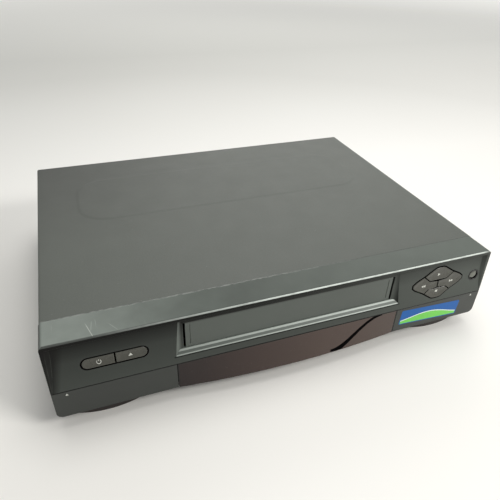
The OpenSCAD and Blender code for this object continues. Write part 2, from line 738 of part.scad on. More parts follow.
// The channel keys stand in the niche behind the right door
module channel_key(side) {
    x = channel_x + side * channel_step;
    color([0.3, 0.3, 0.3]) at_joint() {
        block([x - channel_w / 2, niche_y - 2, channel_z - channel_h / 2],
            [x + channel_w / 2, niche_back + fit + 0.6, channel_z + channel_h / 2]);
        block([x - channel_w / 4, niche_back + fit, channel_z - channel_h / 2 - tab_t],
            [x + channel_w / 4, niche_back + fit + tab_t, channel_z + channel_h / 2 + tab_t]);
    }
}
module channel_up_key() { channel_key(1); }
module channel_down_key() { channel_key(-1); }

module front_feet() {
    bow_r = 80;
    front = face_y + 8.1;
    foot_d = 32;
    color([0.16, 0.13, 0.12]) at_joint() both_sides() intersection() {
        along_z(0, foot_h) translate([feet_x, front + foot_d / 2])
            polygon(rounded(foot_w, foot_d, foot_d / 2 - 2));
        rod_z(0, foot_h, [feet_x, front + bow_r], bow_r);
    }
}
module rear_feet() {
    color([0.12, 0.12, 0.12]) at_joint() both_sides()
        translate([feet_x - 4, rear_foot_y, 0])
            cylinder(h = foot_h, r1 = rear_foot_r - 1.5, r2 = rear_foot_r);
}

// One U-shaped board carries every front key, socket and the display
module front_board() {
    top = lip_z - 4;
    color("olivedrab") at_joint() along_y(front_board_y, front_board_y + board_t) polygon([
        [-half_w + 8, case_z + floor_t + 1], [half_w - 6, case_z + floor_t + 1], [half_w - 6, top],
        [104, top], [104, band_z - 3], [-104, band_z - 3], [-104, top], [-half_w + 8, top]]);
}
module key_switch(x, z) {
    body = 6;
    block([x - body / 2, front_board_y - switch_h + 1.5, z - body / 2],
        [x + body / 2, front_board_y, z + body / 2]);
    rod_y(front_board_y - switch_h, front_board_y - 1, x, z, 1.6);
}
module key_switches() {
    color("black") at_joint() {
        for (side = [-1, 1]) {
            key_switch(pair_x + side * pair_w / 4, key_z);
            key_switch(cluster_x + side * cluster_w / 4, row_z);
            channel_switch(channel_x + side * channel_step);
        }
        key_switch(cluster_x, play_z);
        key_switch(cluster_x, stop_z);
        key_switch(record_x, key_z);
    }
}
// The switches of the channel keys are low, because those keys stand close to the board
module channel_switch(x) {
    tip = niche_back + fit + tab_t + key_travel + 0.1;
    block([x - 3, tip + 0.5, channel_z - 3], [x + 3, front_board_y, channel_z + 3]);
    rod_y(tip, front_board_y - 1, x, channel_z, 1.4);
}
module fluorescent_display() {
    front = -21;
    color([0.15, 0.2, 0.2]) at_joint() {
        block([16 - view_half, front, case_z + 7], [view_half - 16, front + 6, band_z - 6]);
        both_sides()
            block([view_half - 30, front + 5, case_z + 9], [view_half - 22, front_board_y, band_z - 8]);
    }
}
// A phono socket: a flanged barrel with a centre hole, facing the front
module phono_socket(x, y, z, reach) {
    difference() {
        rod_y(y - reach, y, x, z, phono_r);
        rod_y(y - reach - 1, y - 1, x, z, 1.6);
    }
}
module front_av_sockets() {
    back = front_board_y;
    face = niche_back + 0.3;
    color("gold") at_joint() {
        block([av_x - 1.5 * phono_pitch, face, av_z - 7], [av_x + 1.5 * phono_pitch, back, av_z + 7]);
        for (i = [-1:1]) phono_socket(av_x + i * phono_pitch, face, av_z, phono_reach);
    }
}

// The main board wraps round the right and the rear of the deck
module main_board() {
    color("darkolivegreen") at_joint() along_z(board_z, board_top) polygon([[main_x0, main_y[0]],
        [main_edge, main_y[0]], [main_edge, main_y[1]], [-main_edge, main_y[1]], [-main_edge, strip_y0],
        [main_x0, strip_y0]]);
}
module power_board() {
    color("peru") at_joint()
        block([-main_edge, power_y[0], board_z], [-main_x0, power_y[1], board_top]);
}
module transformer() {
    at = [power_x + 6, power_y[0] + 32];
    core = [44, 36, 34];
    color("goldenrod") at_joint() translate([at[0], at[1], board_top]) {
        difference() {
            translate([-core[0] / 2, -core[1] / 2, 2]) cube(core);
            for (s = [-1, 1]) translate([s * core[0] / 4 - 5, -core[1] / 2 - 1, 8])
                cube([10, core[1] + 2, core[2] - 12]);
        }
        translate([-core[0] / 4 - 4.8, -core[1] / 2 - 4, 9])
            cube([core[0] / 2 + 9.6, core[1] + 8, core[2] - 15]);
        for (s = [-1, 1]) translate([s * 16 - 3, -core[1] / 2, 0]) cube([6, core[1], 2.5]);
    }
}
// Capacitors as centre, radius and height; chips as centre, width and depth
capacitors = [[power_x - 20, 92, 9, 30], [power_x + 2, 92, 8, 26], [power_x + 24, 92, 6, 20],
    [power_x + 24, 112, 5, 16], [main_x0 + 36, 196, 5, 12], [main_x0 + 24, 196, 4, 11],
    [20, strip_y0 + 21, 4, 11], [-20, strip_y0 + 21, 4, 11], [-60, strip_y0 + 15, 5, 14]];
chips = [[main_x0 + 18, 40, 25, 14], [main_edge - 22, 78, 24, 24], [main_x0 + 20, 120, 30, 16],
    [-96, strip_y0 + 17, 24, 12], [-36, strip_y0 + 31, 18, 8]];
module board_components() {
    color("midnightblue") at_joint() {
        for (c = capacitors) rod_z(board_top, board_top + c[3], [c[0], c[1]], c[2]);
        for (c = chips) block([c[0] - c[2] / 2, c[1] - c[3] / 2, board_top],
            [c[0] + c[2] / 2, c[1] + c[3] / 2, board_top + 3]);
        block([3 - view_half, front_board_y - 7, case_z + 11], [12 - view_half, front_board_y, case_z + 21]);
    }
}
module heat_sink() {
    fins = 7;
    x0 = power_x - 24;
    y0 = power_y[1] - 22;
    color("lightgray") at_joint() {
        block([x0, y0, board_top], [x0 + 2, y0 + 18, board_top + 34]);
        for (i = [0:fins - 1]) let (y = y0 + i * 2.8)
            block([x0 + 1.5, y, board_top], [x0 + 14, y + 1.2, board_top + 34]);
    }
}
module tuner_module() {
    x0 = antenna_xs[0] - 14;
    x1 = antenna_xs[1] + 14;
    color("silver") at_joint() {
        block([x0, rear_in - tuner_d, board_top], [x1, rear_in - 0.2, antenna_z + 10]);
        for (x = antenna_xs) difference() {
            rod_y(rear_in - 1, cover_d + antenna_reach, x, antenna_z, antenna_r);
            rod_y(cover_d, cover_d + antenna_reach + 1, x, antenna_z, 1.2);
        }
    }
}
module rear_av_sockets() {
    face = rear_in - fit;
    x1 = phono_x + phono_pitch + phono_r + 3;
    color("gold") at_joint() {
        block([2 * phono_x - x1, face - phono_block_d, board_top], [x1, face, phono_z[1] + phono_r + 3]);
        for (i = [-1:1]) for (z = phono_z)
            mirror([0, 1, 0]) phono_socket(phono_x + i * phono_pitch, -face, z, rear_phono_reach);
    }
}
// Two-pin mains inlet: the cord plugs in here
module power_inlet() {
    depth = 20;
    floor = rear_y - 13;
    color("black") at_joint() {
        difference() {
            union() {
                block([inlet_x - inlet_w / 2, rear_in - depth, inlet_z - inlet_h / 2],
                    [inlet_x + inlet_w / 2, rear_y + 1, inlet_z + inlet_h / 2]);
                block([inlet_x - 8, rear_in - depth, board_top], [inlet_x + 8, rear_in - 4, inlet_z]);
            }
            along_y(floor, rear_y + 2) translate([inlet_x, inlet_z]) polygon(rounded(16, 9, 3));
        }
        for (s = [-1, 1]) rod_y(floor - 1, rear_y - 3, inlet_x + s * 4.3, inlet_z, 1.2);
    }
}

module guide_slot(width) {
    translate([guide_from[0], guide_from[1], deck_z - 1]) rotate([0, 0, guide_angle]) {
        translate([0, -width / 2, 0]) cube([guide_run, width, deck_t + 2]);
        cylinder(h = deck_t + 2, r = width / 2);
        translate([guide_run, 0, 0]) cylinder(h = deck_t + 2, r = width / 2);
    }
}
module deck_plate() {
    color("lightsteelblue") at_joint() {
        difference() {
            block([-deck_half_w, deck_y[0], deck_z], [deck_half_w, deck_y[1], deck_top]);
            both_sides() guide_slot(4.4);
            rod_z(deck_z - 1, deck_top + 1, [0, drum_y], 21);
            rod_z(deck_z - 1, deck_top + 1, capstan_at, 4);
            rod_z(deck_z - 1, deck_top + 1, clutch_at, 2 + loose);
            rod_z(deck_z - 1, deck_top + 1, pinion_at, 5);
            both_sides() block([30, 10, deck_z - 1], [88, 40, deck_top + 1]);
        }
        both_sides() rod_z(deck_z, deck_top + spindle_h - 2, [reel_x, reel_y], reel_post_r);
        rod_z(deck_z, deck_top + 8, pinch_pivot, 2);
        rod_z(deck_z, deck_top + 6, tension_at, 2);
        rod_z(mode_z - 0.8, deck_z + 0.5, mode_at, 2);
    }
}

// Cassette lift: side frames on the deck, a carriage that runs back, and a holder that drops
module lift_side() {
    slot = guide_pin_r + 0.1;
    difference() {
        block([frame_x, frame_y[0], deck_top], [frame_x + sheet_t, frame_y[1], carriage_top + sheet_t]);
        for (y = guide_pins_y) {
            block([frame_x - 1, y, guide_pin_z - slot], [frame_x + 3, y + carry_in, guide_pin_z + slot]);
            rod_x(frame_x - 1, frame_x + 3, y, guide_pin_z, slot);
            rod_x(frame_x - 1, frame_x + 3, y + carry_in, guide_pin_z, slot);
        }
    }
    for (y = [frame_y[0] + 20, frame_y[1] - 30])
        block([frame_x + sheet_t / 2, y, deck_top], [deck_half_w - 1, y + 20, deck_top + sheet_t]);
}
module lift_frame() {
    color("gainsboro") at_joint() {
        both_sides() lift_side();
        block([-frame_x - sheet_t, frame_y[1] - 12, carriage_top],
            [frame_x + sheet_t, frame_y[1], carriage_top + sheet_t]);
        rod_x(rack_x + 0.4, frame_x + 0.5, gear_y, gear_z, 1.5);
    }
}
module carriage_side() {
    slot = guide_pin_r + 0.1;
    difference() {
        block([carriage_x, carriage_y, carriage_z],
            [carriage_x + sheet_t, carriage_y + carriage_d, carriage_top]);
        for (y = holder_pins_y) {
            block([carriage_x - 1, y - slot, holder_pin_z - carry_down],
                [carriage_x + 3, y + slot, holder_pin_z]);
            rod_x(carriage_x - 1, carriage_x + 3, y, holder_pin_z, slot);
            rod_x(carriage_x - 1, carriage_x + 3, y, holder_pin_z - carry_down, slot);
        }
    }
    for (y = guide_pins_y) rod_x(carriage_x + 0.5, frame_x + sheet_t + 0.8, y, guide_pin_z, guide_pin_r);
}
// Rack teeth point up and mesh under the lift gear: the gear stands with a tooth straight down
module rack() {
    pitch = PI * tooth_m;
    back = ceil((carry_in + 4) / pitch);
    for (i = [-back:2]) let (y = gear_y + (i + 0.5) * pitch)
        along_x(rack_x + 0.6, rack_x + rack_t) polygon([[y - 0.32 * pitch, rack_z - 1.15 * tooth_m],
            [y + 0.32 * pitch, rack_z - 1.15 * tooth_m], [y + 0.11 * pitch, rack_z + 0.85 * tooth_m],
            [y - 0.11 * pitch, rack_z + 0.85 * tooth_m]]);
    block([rack_x - 0.5, gear_y - (back + 1) * pitch, carriage_z],
        [rack_x + rack_t, gear_y + 4 * pitch, rack_z - 1.1 * tooth_m]);
}
module lift_carriage() {
    strip = carriage_y + 35;
    color("silver") at_joint() {
        both_sides() carriage_side();
        rack();
        block([-carriage_x - sheet_t, strip, carriage_top - sheet_t],
            [carriage_x + sheet_t, strip + 14, carriage_top]);
    }
}
module lift_gear() {
    x0 = rack_x + 0.6;
    color("ivory") at_joint() difference() {
        along_x(x0, rack_x + rack_t) translate([gear_y, gear_z]) rotate(-90) polygon(gear(lift_teeth));
        rod_x(x0 - 1, frame_x, gear_y, gear_z, 1.5 + snug);
    }
}
module cassette_holder() {
    top0 = holder_top - sheet_t;
    ledge = 23;
    rear = holder_y + holder_d;
    color("darkgray") at_joint() {
        difference() {
            block([-holder_half - sheet_t, holder_y, top0],
                [holder_half + sheet_t, holder_y + holder_d, holder_top]);
            both_sides() block([14, holder_y + 14, top0 - 1], [70, rear - 20, holder_top + 1]);
        }
        both_sides() {
            block([holder_half, holder_y, holder_z], [holder_half + sheet_t, rear, holder_top]);
            block([holder_half - ledge, holder_y, holder_z],
                [holder_half + sheet_t, rear - 16, holder_z + sheet_t]);
            block([holder_half - 3, rear - sheet_t, holder_z + 4], [holder_half + sheet_t, rear, top0]);
            for (y = holder_pins_y)
                rod_x(holder_half + 0.5, carriage_x + sheet_t + 0.2, y, holder_pin_z, guide_pin_r);
        }
    }
}

// The head drum leans: its parts are drawn upright on its own axis, then tilted
module on_drum_axis() {
    translate([0, drum_y, drum_z]) rotate([-drum_tilt, 0, 0]) children();
}
module drum_base() {
    color("darkgray") at_joint() difference() {
        rod_z(deck_top, drum_z + 9, [0, drum_y], drum_r + 3.5);
        on_drum_axis() {
            cylinder(h = 40, r = drum_r + snug);
            translate([0, 0, -20]) cylinder(h = 30, r = drum_r - 13);
        }
        both_sides() rod_z(deck_z, 80, guide_to, 13);
        block([-60, drum_y - drum_r - 9, deck_top + 5], [60, drum_y - drum_r + 14, 90]);
    }
}
module lower_drum() {
    color("silver") at_joint() on_drum_axis() difference() {
        cylinder(h = drum_h, r = drum_r);
        translate([0, 0, -1]) cylinder(h = drum_h + 2, r = 3 + snug);
    }
}
module upper_drum() {
    windows = 4;
    color("whitesmoke") at_joint() on_drum_axis() {
        difference() {
            translate([0, 0, drum_h + loose]) cylinder(h = drum_h, r = drum_r);
            translate([0, 0, 2 * drum_h - 3]) cylinder(h = 5, r = drum_r - 9);
            for (i = [0:windows - 1]) rotate([0, 0, 45 + 90 * i]) translate([drum_r - 2.5, -2, drum_h - 1])
                cube([4, 4, 3]);
        }
        translate([0, 0, -6]) cylinder(h = drum_h + 10, r = 3);
        translate([0, 0, 2 * drum_h - 4]) cylinder(h = 8, r = 6);
    }
}
module drum_motor() {
    color("dimgray") at_joint() on_drum_axis() difference() {
        translate([0, 0, -14]) cylinder(h = 14, r = drum_r - 13.5);
        translate([0, 0, -8]) cylinder(h = 10, r = 3 + snug);
    }
}

module capstan() {
    color("silver") at_joint() {
        rod_z(pulley_z, capstan_top, capstan_at, capstan_r);
        rod_z(flywheel_z, flywheel_z + 4, capstan_at, flywheel_r);
        difference() {
            rod_z(pulley_z, flywheel_z + 1, capstan_at, capstan_pulley_r + 1);
            tube_z(pulley_z + 0.8, pulley_z + 2.4, capstan_at, capstan_pulley_r + 2, capstan_pulley_r);
        }
    }
}
// The stator carries the capstan's bearing and hangs under the deck
module capstan_stator() {
    gap = flywheel_z + 4.3;
    color("olive") at_joint() difference() {
        union() {
            rod_z(gap, deck_z, capstan_at, 12);
            rod_z(gap, gap + 1.4, capstan_at, flywheel_r - 3);
            rod_z(deck_z - 1, deck_top + 2.4, capstan_at, 4 - snug);
        }
        rod_z(gap - 1, capstan_top, capstan_at, capstan_r + snug);
    }
}
module clutch_pulley() {
    color("ivory") at_joint() {
        difference() {
            rod_z(pulley_z, pulley_z + 3.2, clutch_at, clutch_r + 1);
            tube_z(pulley_z + 0.8, pulley_z + 2.4, clutch_at, clutch_r + 2, clutch_r);
        }
        rod_z(pulley_z, deck_top + 3.6, clutch_at, 2);
        rod_z(pulley_z, deck_z - 0.3, clutch_at, 4);
    }
}
module belt_outline(grow) {
    hull() {
        translate(capstan_at) circle(r = capstan_pulley_r + grow, $fn = 72);
        translate(clutch_at) circle(r = clutch_r + grow, $fn = 72);
    }
}
module drive_belt() {
    color([0.1, 0.1, 0.1]) at_joint() along_z(pulley_z + 1.1, pulley_z + 2.1) difference() {
        belt_outline(0.9);
        belt_outline(0.1);
    }
}
module idler_arm() {
    z = deck_top + 0.4;
    color("silver") at_joint() difference() {
        union() {
            rod_z(z, z + 1, clutch_at, 5);
            block([clutch_at[0] - 3, idler_at[1], z], [clutch_at[0] + 3, clutch_at[1], z + 1]);
            rod_z(z, z + 4.2, idler_at, 2);
        }
        rod_z(z - 1, z + 2, clutch_at, 2 + snug);
    }
}
module idler_wheel() {
    z = deck_top + 1.6;
    color([0.14, 0.14, 0.14]) at_joint() tube_z(z, z + 2, idler_at, idler_r, 2 + snug);
}
module reel() {
    splines = 3;
    difference() {
        union() {
            cylinder(h = reel_t, r = reel_r);
            cylinder(h = reel_t + 2.5, r = 9);
            cylinder(h = spindle_h - 1.5, r = 3.6);
            for (i = [0:splines - 1]) rotate([0, 0, i * 120]) translate([0, -0.7, 0])
                cube([5, 1.4, spindle_h - 4]);
        }
        translate([0, 0, -1]) cylinder(h = spindle_h + 2, r = reel_post_r + snug);
    }
}
module place_reel(side) { at_joint() translate([side * reel_x, reel_y, deck_top + 0.3]) reel(); }
module supply_reel() { color("white") place_reel(-1); }
module takeup_reel() { color("white") place_reel(1); }

module pinch_arm() {
    z = deck_top + 3.4;
    color("gray") at_joint() difference() {
        union() {
            rod_z(z, z + 4, pinch_pivot, 4);
            translate([pinch_pivot[0], pinch_pivot[1], z]) rotate([0, 0, pinch_angle])
                translate([0, -2.5, 0]) cube([pinch_reach, 5, 1.4]);
            rod_z(z, z + 1.4, roller_at, 4);
            rod_z(z, z + 18, roller_at, 1.2);
        }
        rod_z(z - 1, z + 6, pinch_pivot, 2 + snug);
    }
}
module pinch_roller() {
    z = deck_top + 5.1;
    color([0.1, 0.1, 0.1]) at_joint() tube_z(z, z + 15, roller_at, roller_r, 1.2 + snug);
}
// The mode gear and the pinion turn under the deck. A tooth of the pinion stands in a gap of the gear.
module mode_gear() {
    aim = 135 - 180 / mode_teeth;
    color("ivory") at_joint() difference() {
        along_z(mode_z, mode_z + mode_t) translate(mode_at) rotate(aim) polygon(gear(mode_teeth));
        rod_z(mode_z - 1, deck_z, mode_at, 2 + snug);
        for (i = [0:5]) rod_z(mode_z - 1, deck_z, mode_at + 11 * turned(60 * i), 3);
    }
}
module loading_pinion() {
    color("ivory") at_joint() {
        along_z(mode_z - 0.5, mode_z + mode_t + 0.5)
            translate(pinion_at) rotate(-45) polygon(gear(pinion_teeth));
        rod_z(mode_z, deck_top + 0.2, pinion_at, pinion_shaft_r);
    }
}
module loading_motor() {
    color("silver") at_joint() {
        rod_z(deck_top + 0.6, deck_top + 24, pinion_at, 12);
        tube_z(deck_top, deck_top + 1, pinion_at, 12, 5);
    }
}
module tape_guide(side) {
    z = deck_top + 0.2;
    at = guide_from;
    at_joint() mirror([side < 0 ? 1 : 0, 0, 0]) {
        rod_z(z, z + 3.5, at, 5);
        rod_z(deck_z - 1.6, z + 1, at, 2);
        rod_z(deck_z - 1.6, deck_z - 0.3, at, 4);
        rod_z(z + 3, z + 20, at, 2.2);
        for (dz = [3.5, 18.5]) rod_z(z + dz, z + dz + 1.6, at, 3.4);
    }
}
module supply_guide() { color("silver") tape_guide(-1); }
module takeup_guide() { color("silver") tape_guide(1); }
module tension_arm() {
    z = deck_top + 2.2;
    tip = tension_at + tension_reach * turned(tension_angle);
    color("gray") at_joint() difference() {
        union() {
            rod_z(z - 1.9, z + 3, tension_at, 4);
            translate([tension_at[0], tension_at[1], z]) rotate([0, 0, tension_angle])
                translate([0, -2, 0]) cube([tension_reach, 4, 1.4]);
            rod_z(z, z + 20, tip, 1.8);
        }
        rod_z(z - 3, z + 6, tension_at, 2 + snug);
    }
}
// The erase head on the supply side, the audio and control head on the take-up side
module tape_heads() {
    color("slategray") at_joint() {
        block([erase_at[0] - 4, erase_at[1] - 5, deck_top],
            [erase_at[0] + 4, erase_at[1] + 5, deck_top + 3]);
        rod_z(deck_top + 2, deck_top + 19, erase_at, 4);
        block([audio_at[0] - 6, audio_at[1] - 2, deck_top],
            [audio_at[0] + 6, audio_at[1] + 8, deck_top + 3]);
        block([audio_at[0] - 4, audio_at[1], deck_top + 2],
            [audio_at[0] + 4, audio_at[1] + 7, deck_top + 20]);
    }
}

top_cover();
bottom_tray();
rear_panel();
front_bezel();
niche_panel();
display_window();
left_door();
right_door();
cassette_flap();
flap_spring();
power_key();
eject_key();
play_key();
rewind_key();
forward_key();
stop_key();
record_key();
channel_up_key();
channel_down_key();
front_feet();
rear_feet();
cover_screws();
front_board();
key_switches();
fluorescent_display();
front_av_sockets();
main_board();
power_board();
transformer();
board_components();
heat_sink();
tuner_module();
rear_av_sockets();
power_inlet();
deck_plate();
lift_frame();
lift_carriage();
cassette_holder();
lift_gear();
drum_base();
lower_drum();
upper_drum();
drum_motor();
capstan();
capstan_stator();
clutch_pulley();
drive_belt();
idler_arm();
idler_wheel();
supply_reel();
takeup_reel();
pinch_arm();
pinch_roller();
mode_gear();
loading_motor();
loading_pinion();
supply_guide();
takeup_guide();
tension_arm();
tape_heads();
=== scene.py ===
"""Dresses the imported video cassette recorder: finishes, keys' symbols, sticker, lights and camera.

Lengths in the tables below are millimetres. Depths are measured back from the line where the steel
cover meets the front moulding, as in the part's own source, and row() turns them into the row's frame.
"""

import json
import math

import bmesh
import bpy
from mathutils import Euler, Matrix, Vector
from mathutils.bvhtree import BVHTree

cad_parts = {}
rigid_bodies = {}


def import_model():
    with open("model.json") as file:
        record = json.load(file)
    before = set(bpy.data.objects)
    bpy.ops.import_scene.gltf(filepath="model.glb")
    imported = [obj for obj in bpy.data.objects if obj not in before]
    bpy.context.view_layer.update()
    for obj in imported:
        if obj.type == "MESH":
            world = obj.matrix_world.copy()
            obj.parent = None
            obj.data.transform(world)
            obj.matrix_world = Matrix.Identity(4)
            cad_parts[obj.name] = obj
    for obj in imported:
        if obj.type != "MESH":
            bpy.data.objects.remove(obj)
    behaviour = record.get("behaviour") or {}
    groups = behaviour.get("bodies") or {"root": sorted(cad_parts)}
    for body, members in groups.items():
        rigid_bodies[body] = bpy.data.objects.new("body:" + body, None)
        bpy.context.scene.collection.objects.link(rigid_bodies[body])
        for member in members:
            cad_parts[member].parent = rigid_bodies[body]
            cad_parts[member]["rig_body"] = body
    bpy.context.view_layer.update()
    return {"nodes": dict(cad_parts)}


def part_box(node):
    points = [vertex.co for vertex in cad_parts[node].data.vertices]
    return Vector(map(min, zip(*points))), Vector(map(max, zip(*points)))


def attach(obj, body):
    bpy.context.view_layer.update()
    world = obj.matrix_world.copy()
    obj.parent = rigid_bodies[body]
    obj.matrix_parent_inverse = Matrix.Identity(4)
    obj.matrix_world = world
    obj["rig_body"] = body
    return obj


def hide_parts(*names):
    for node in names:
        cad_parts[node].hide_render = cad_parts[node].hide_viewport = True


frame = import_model()
NODES = frame["nodes"]
MM = 0.001


def added(name, data):
    """A new object in the scene."""
    made = bpy.data.objects.new(name, data)
    bpy.context.scene.collection.objects.link(made)
    return made


def edge(node, side, axis):
    """One side of a CAD node's box in millimetres: side 0 is the low one, 1 the high one."""
    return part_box(node)[side]["xyz".index(axis)] / MM


# Clearances and steps between pieces, as the part's own source has them
FLAP_GAP = 0.3
FLAP_OVER_SLOT = 2.8
STRIP_STEP = 1.8
LIP_HEIGHT = 3.8

# Driving places, read from the frame
JOINT = edge("top_cover", 0, "y")
TOP = edge("front_bezel", 1, "z")
HALF = edge("front_bezel", 1, "x")
COVER_HALF = edge("top_cover", 1, "x")
COVER_END = edge("top_cover", 1, "y") - JOINT
FIELD_TOP = edge("top_cover", 1, "z")
FACE = edge("right_door", 0, "y") - JOINT
BAND = edge("display_window", 1, "z")
CASE = edge("display_window", 0, "z")
WINDOW_ENDS = (edge("display_window", 0, "x"), edge("display_window", 1, "x"))
SILL_Z = edge("cassette_flap", 0, "z") - FLAP_GAP
SLOT_TOP = edge("cassette_flap", 1, "z") - FLAP_OVER_SLOT
SLOT_HALF = (edge("cassette_flap", 1, "x") - edge("cassette_flap", 0, "x")) / 2
STRIP = FACE + STRIP_STEP
LIP = TOP - LIP_HEIGHT

# The upper face: how far its top leans back, and how deep its hollow is
LEAN = 4.4
HOLLOW = 0.9


def row(x, y, z):
    """A point given in millimetres from the joint line, in the row's frame."""
    return Vector((x * MM, (y + JOINT) * MM, z * MM))


def face_at(z):
    """Depth of the upper face at height z: it leans back and is slightly hollow."""
    part = (LIP - z) / (LIP - BAND)
    return FACE + LEAN * (1 - part) + 4 * HOLLOW * part * (1 - part)


def tone(red, green, blue):
    """A display colour of 0 to 255 as Blender's linear colour."""
    channels = (c / 255 for c in (red, green, blue))
    return tuple(c / 12.92 if c <= 0.04045 else ((c + 0.055) / 1.055) ** 2.4 for c in channels) + (1.0,)


NEAR_BLACK = tone(7, 7, 7)


def scaled(colour, factor):
    """A colour made lighter or darker."""
    return tuple(min(1.0, c * factor) for c in colour[:3]) + (1.0,)


def arc(x, z, radius, start, end, steps):
    """Points (x, z) along an arc between two angles in degrees, counted from the right upwards."""
    turns = [math.radians(start + (end - start) * i / steps) for i in range(steps + 1)]
    return [(x + radius * math.cos(a), z + radius * math.sin(a)) for a in turns]


def smooth(made, degrees=32.0):
    """Smooth shading that keeps edges sharper than the angle."""
    made.data.polygons.foreach_set("use_smooth", [True] * len(made.data.polygons))
    made.data.set_sharp_from_angle(angle=math.radians(degrees))


def soften(mesh, degrees=22.0):
    """Shading normals shared by faces that meet within the angle, for a CAD mesh with split vertices."""
    limit = math.cos(math.radians(degrees))
    mesh.polygons.foreach_set("use_smooth", [True] * len(mesh.polygons))
    places = [tuple(round(c, 7) for c in v.co) for v in mesh.vertices]
    meeting = {}
    for face in mesh.polygons:
        for v in face.vertices:
            meeting.setdefault(places[v], []).append((face.normal.copy(), face.area))
    normals = []
    for face in mesh.polygons:
        own = face.normal.copy()
        for v in face.vertices:
            total = Vector()
            for normal, area in meeting[places[v]]:
                if normal.dot(own) > limit:
                    total += normal * area
            normals.append(total.normalized() if total.length > 0 else own)
    mesh.normals_split_custom_set(normals)


# The Mix node's sockets for colours, which share their names with its other sockets
MIX_FIRST, MIX_SECOND, MIX_RESULT = 6, 7, 2


def feed(tree, socket, value):
    """Links a socket, or sets a plain value."""
    if isinstance(value, bpy.types.NodeSocket):
        tree.links.new(value, socket)
    else:
        socket.default_value = value


def add_node(tree, kind, inputs=None, **settings):
    """A node with its settings, and a link or a plain value for each of its inputs that is named."""
    node = tree.nodes.new(kind)
    for key, value in settings.items():
        setattr(node, key, value)
    for socket, value in (inputs or {}).items():
        feed(tree, node.inputs[socket], value)
    return node


class Finish:
    """One procedural material. Its patterns use the piece's own coordinates, in metres."""

    def __init__(self, name, roughness=0.5, metallic=0.0, **sockets):
        self.material = bpy.data.materials.new(name)
        self.material.use_nodes = True
        self.tree = self.material.node_tree
        self.shader = self.tree.nodes["Principled BSDF"]
        self.feed("Roughness", roughness)
        self.feed("Metallic", metallic)
        for socket, value in sockets.items():
            self.feed(socket.replace("_", " "), value)
        self.place = self.add("ShaderNodeTexCoord").outputs["Object"]
        self.shown = None

    def add(self, kind, inputs=None, **settings):
        return add_node(self.tree, kind, inputs, **settings)

    def feed(self, name, value):
        """Links or sets one input of the shader."""
        feed(self.tree, self.shader.inputs[name], value)

    def noise(self, scale, detail=2.0, stretch=None, seed=0.0):
        place = self.place
        if stretch:
            place = self.add("ShaderNodeMapping", {"Vector": place, "Scale": stretch}).outputs["Vector"]
        inputs = {"Vector": place, "Scale": scale, "Detail": detail, "W": seed}
        return self.add("ShaderNodeTexNoise", inputs, noise_dimensions="4D").outputs["Fac"]

    def span(self, value, low, high, out_low=0.0, out_high=1.0):
        """A value between low and high, carried over to out_low and out_high and held beyond them."""
        inputs = {"Value": value, "From Min": low, "From Max": high, "To Min": out_low, "To Max": out_high}
        return self.add("ShaderNodeMapRange", inputs).outputs["Result"]

    def math(self, operation, first, second=0.0):
        return self.add("ShaderNodeMath", {0: first, 1: second}, operation=operation).outputs["Value"]

    def plus(self, first, second):
        return self.math("ADD", first, second)

    def less(self, first, second):
        return self.math("SUBTRACT", first, second)

    def most(self, first, second):
        return self.math("MAXIMUM", first, second)

    def absolute(self, value):
        return self.math("ABSOLUTE", value)

    def product(self, *factors):
        value = factors[0]
        for factor in factors[1:]:
            value = self.math("MULTIPLY", value, factor)
        return value

    def mix(self, mask, first, second):
        """The first colour where the mask is 0, the second where it is 1."""
        inputs = {"Factor": mask, MIX_FIRST: first, MIX_SECOND: second}
        return self.add("ShaderNodeMix", inputs, data_type="RGBA").outputs[MIX_RESULT]

    def axes(self):
        out = self.add("ShaderNodeSeparateXYZ", {"Vector": self.place}).outputs
        return out["X"], out["Y"], out["Z"]

    def near(self, value, centre, reach):
        """1 at the centre, down to 0 at the reach, in metres."""
        return self.span(self.absolute(self.less(value, centre)), reach, 0.0)

    def band(self, value, centre, half, soft=0.0003):
        """1 within half a width of the centre, softened at its sides."""
        return self.span(self.absolute(self.less(value, centre)), half + soft, half)

    def facing(self, axis):
        """How far the surface faces along an axis, from -1 to 1."""
        normal = self.add("ShaderNodeNewGeometry").outputs["True Normal"]
        return self.add("ShaderNodeSeparateXYZ", {"Vector": normal}).outputs[axis]

    def facing_up(self):
        return self.span(self.facing("Z"), 0.7, 0.95)

    def stroke(self, x, y, start, end, width):
        """1 on a thin straight scratch between two places (x, y) in metres, fading at its ends."""
        along = (Vector(end) - Vector(start)).normalized()
        length = (Vector(end) - Vector(start)).length
        dx, dy = self.less(x, start[0]), self.less(y, start[1])
        far = self.plus(self.product(dx, along.x), self.product(dy, along.y))
        off = self.less(self.product(dx, along.y), self.product(dy, along.x))
        from_middle = self.absolute(self.less(far, length / 2))
        ends = self.span(from_middle, length / 2, length / 4)
        return self.product(self.near(off, 0.0, width), ends)

    def rounded_normal(self, radius):
        return self.add("ShaderNodeBevel", {"Radius": radius}, samples=4).outputs["Normal"]

    def edge_mask(self, radius):
        """1 on edges sharper than the radius, by comparing a rounded normal with the true one."""
        sockets = {0: self.rounded_normal(radius), 1: self.add("ShaderNodeNewGeometry").outputs["Normal"]}
        dot = self.add("ShaderNodeVectorMath", sockets, operation="DOT_PRODUCT")
        return self.span(dot.outputs["Value"], 0.995, 0.93)

    def coat(self, colour, *masks):
        """Lays a colour over what shows so far, where all the masks are 1."""
        self.shown = self.mix(self.product(*masks), self.shown, colour)

    def done(self):
        """The material, with what shows as its colour."""
        self.feed("Base Color", self.shown)
        return self.material

    def rough(self, value):
        self.feed("Roughness", value)

    def relief(self, height, depth, round_edges=0.0):
        """Bump of that depth in metres, over edges rounded by a small radius."""
        inputs = {"Distance": depth, "Height": height}
        if round_edges:
            inputs["Normal"] = self.rounded_normal(round_edges)
        self.feed("Normal", self.add("ShaderNodeBump", inputs).outputs["Normal"])


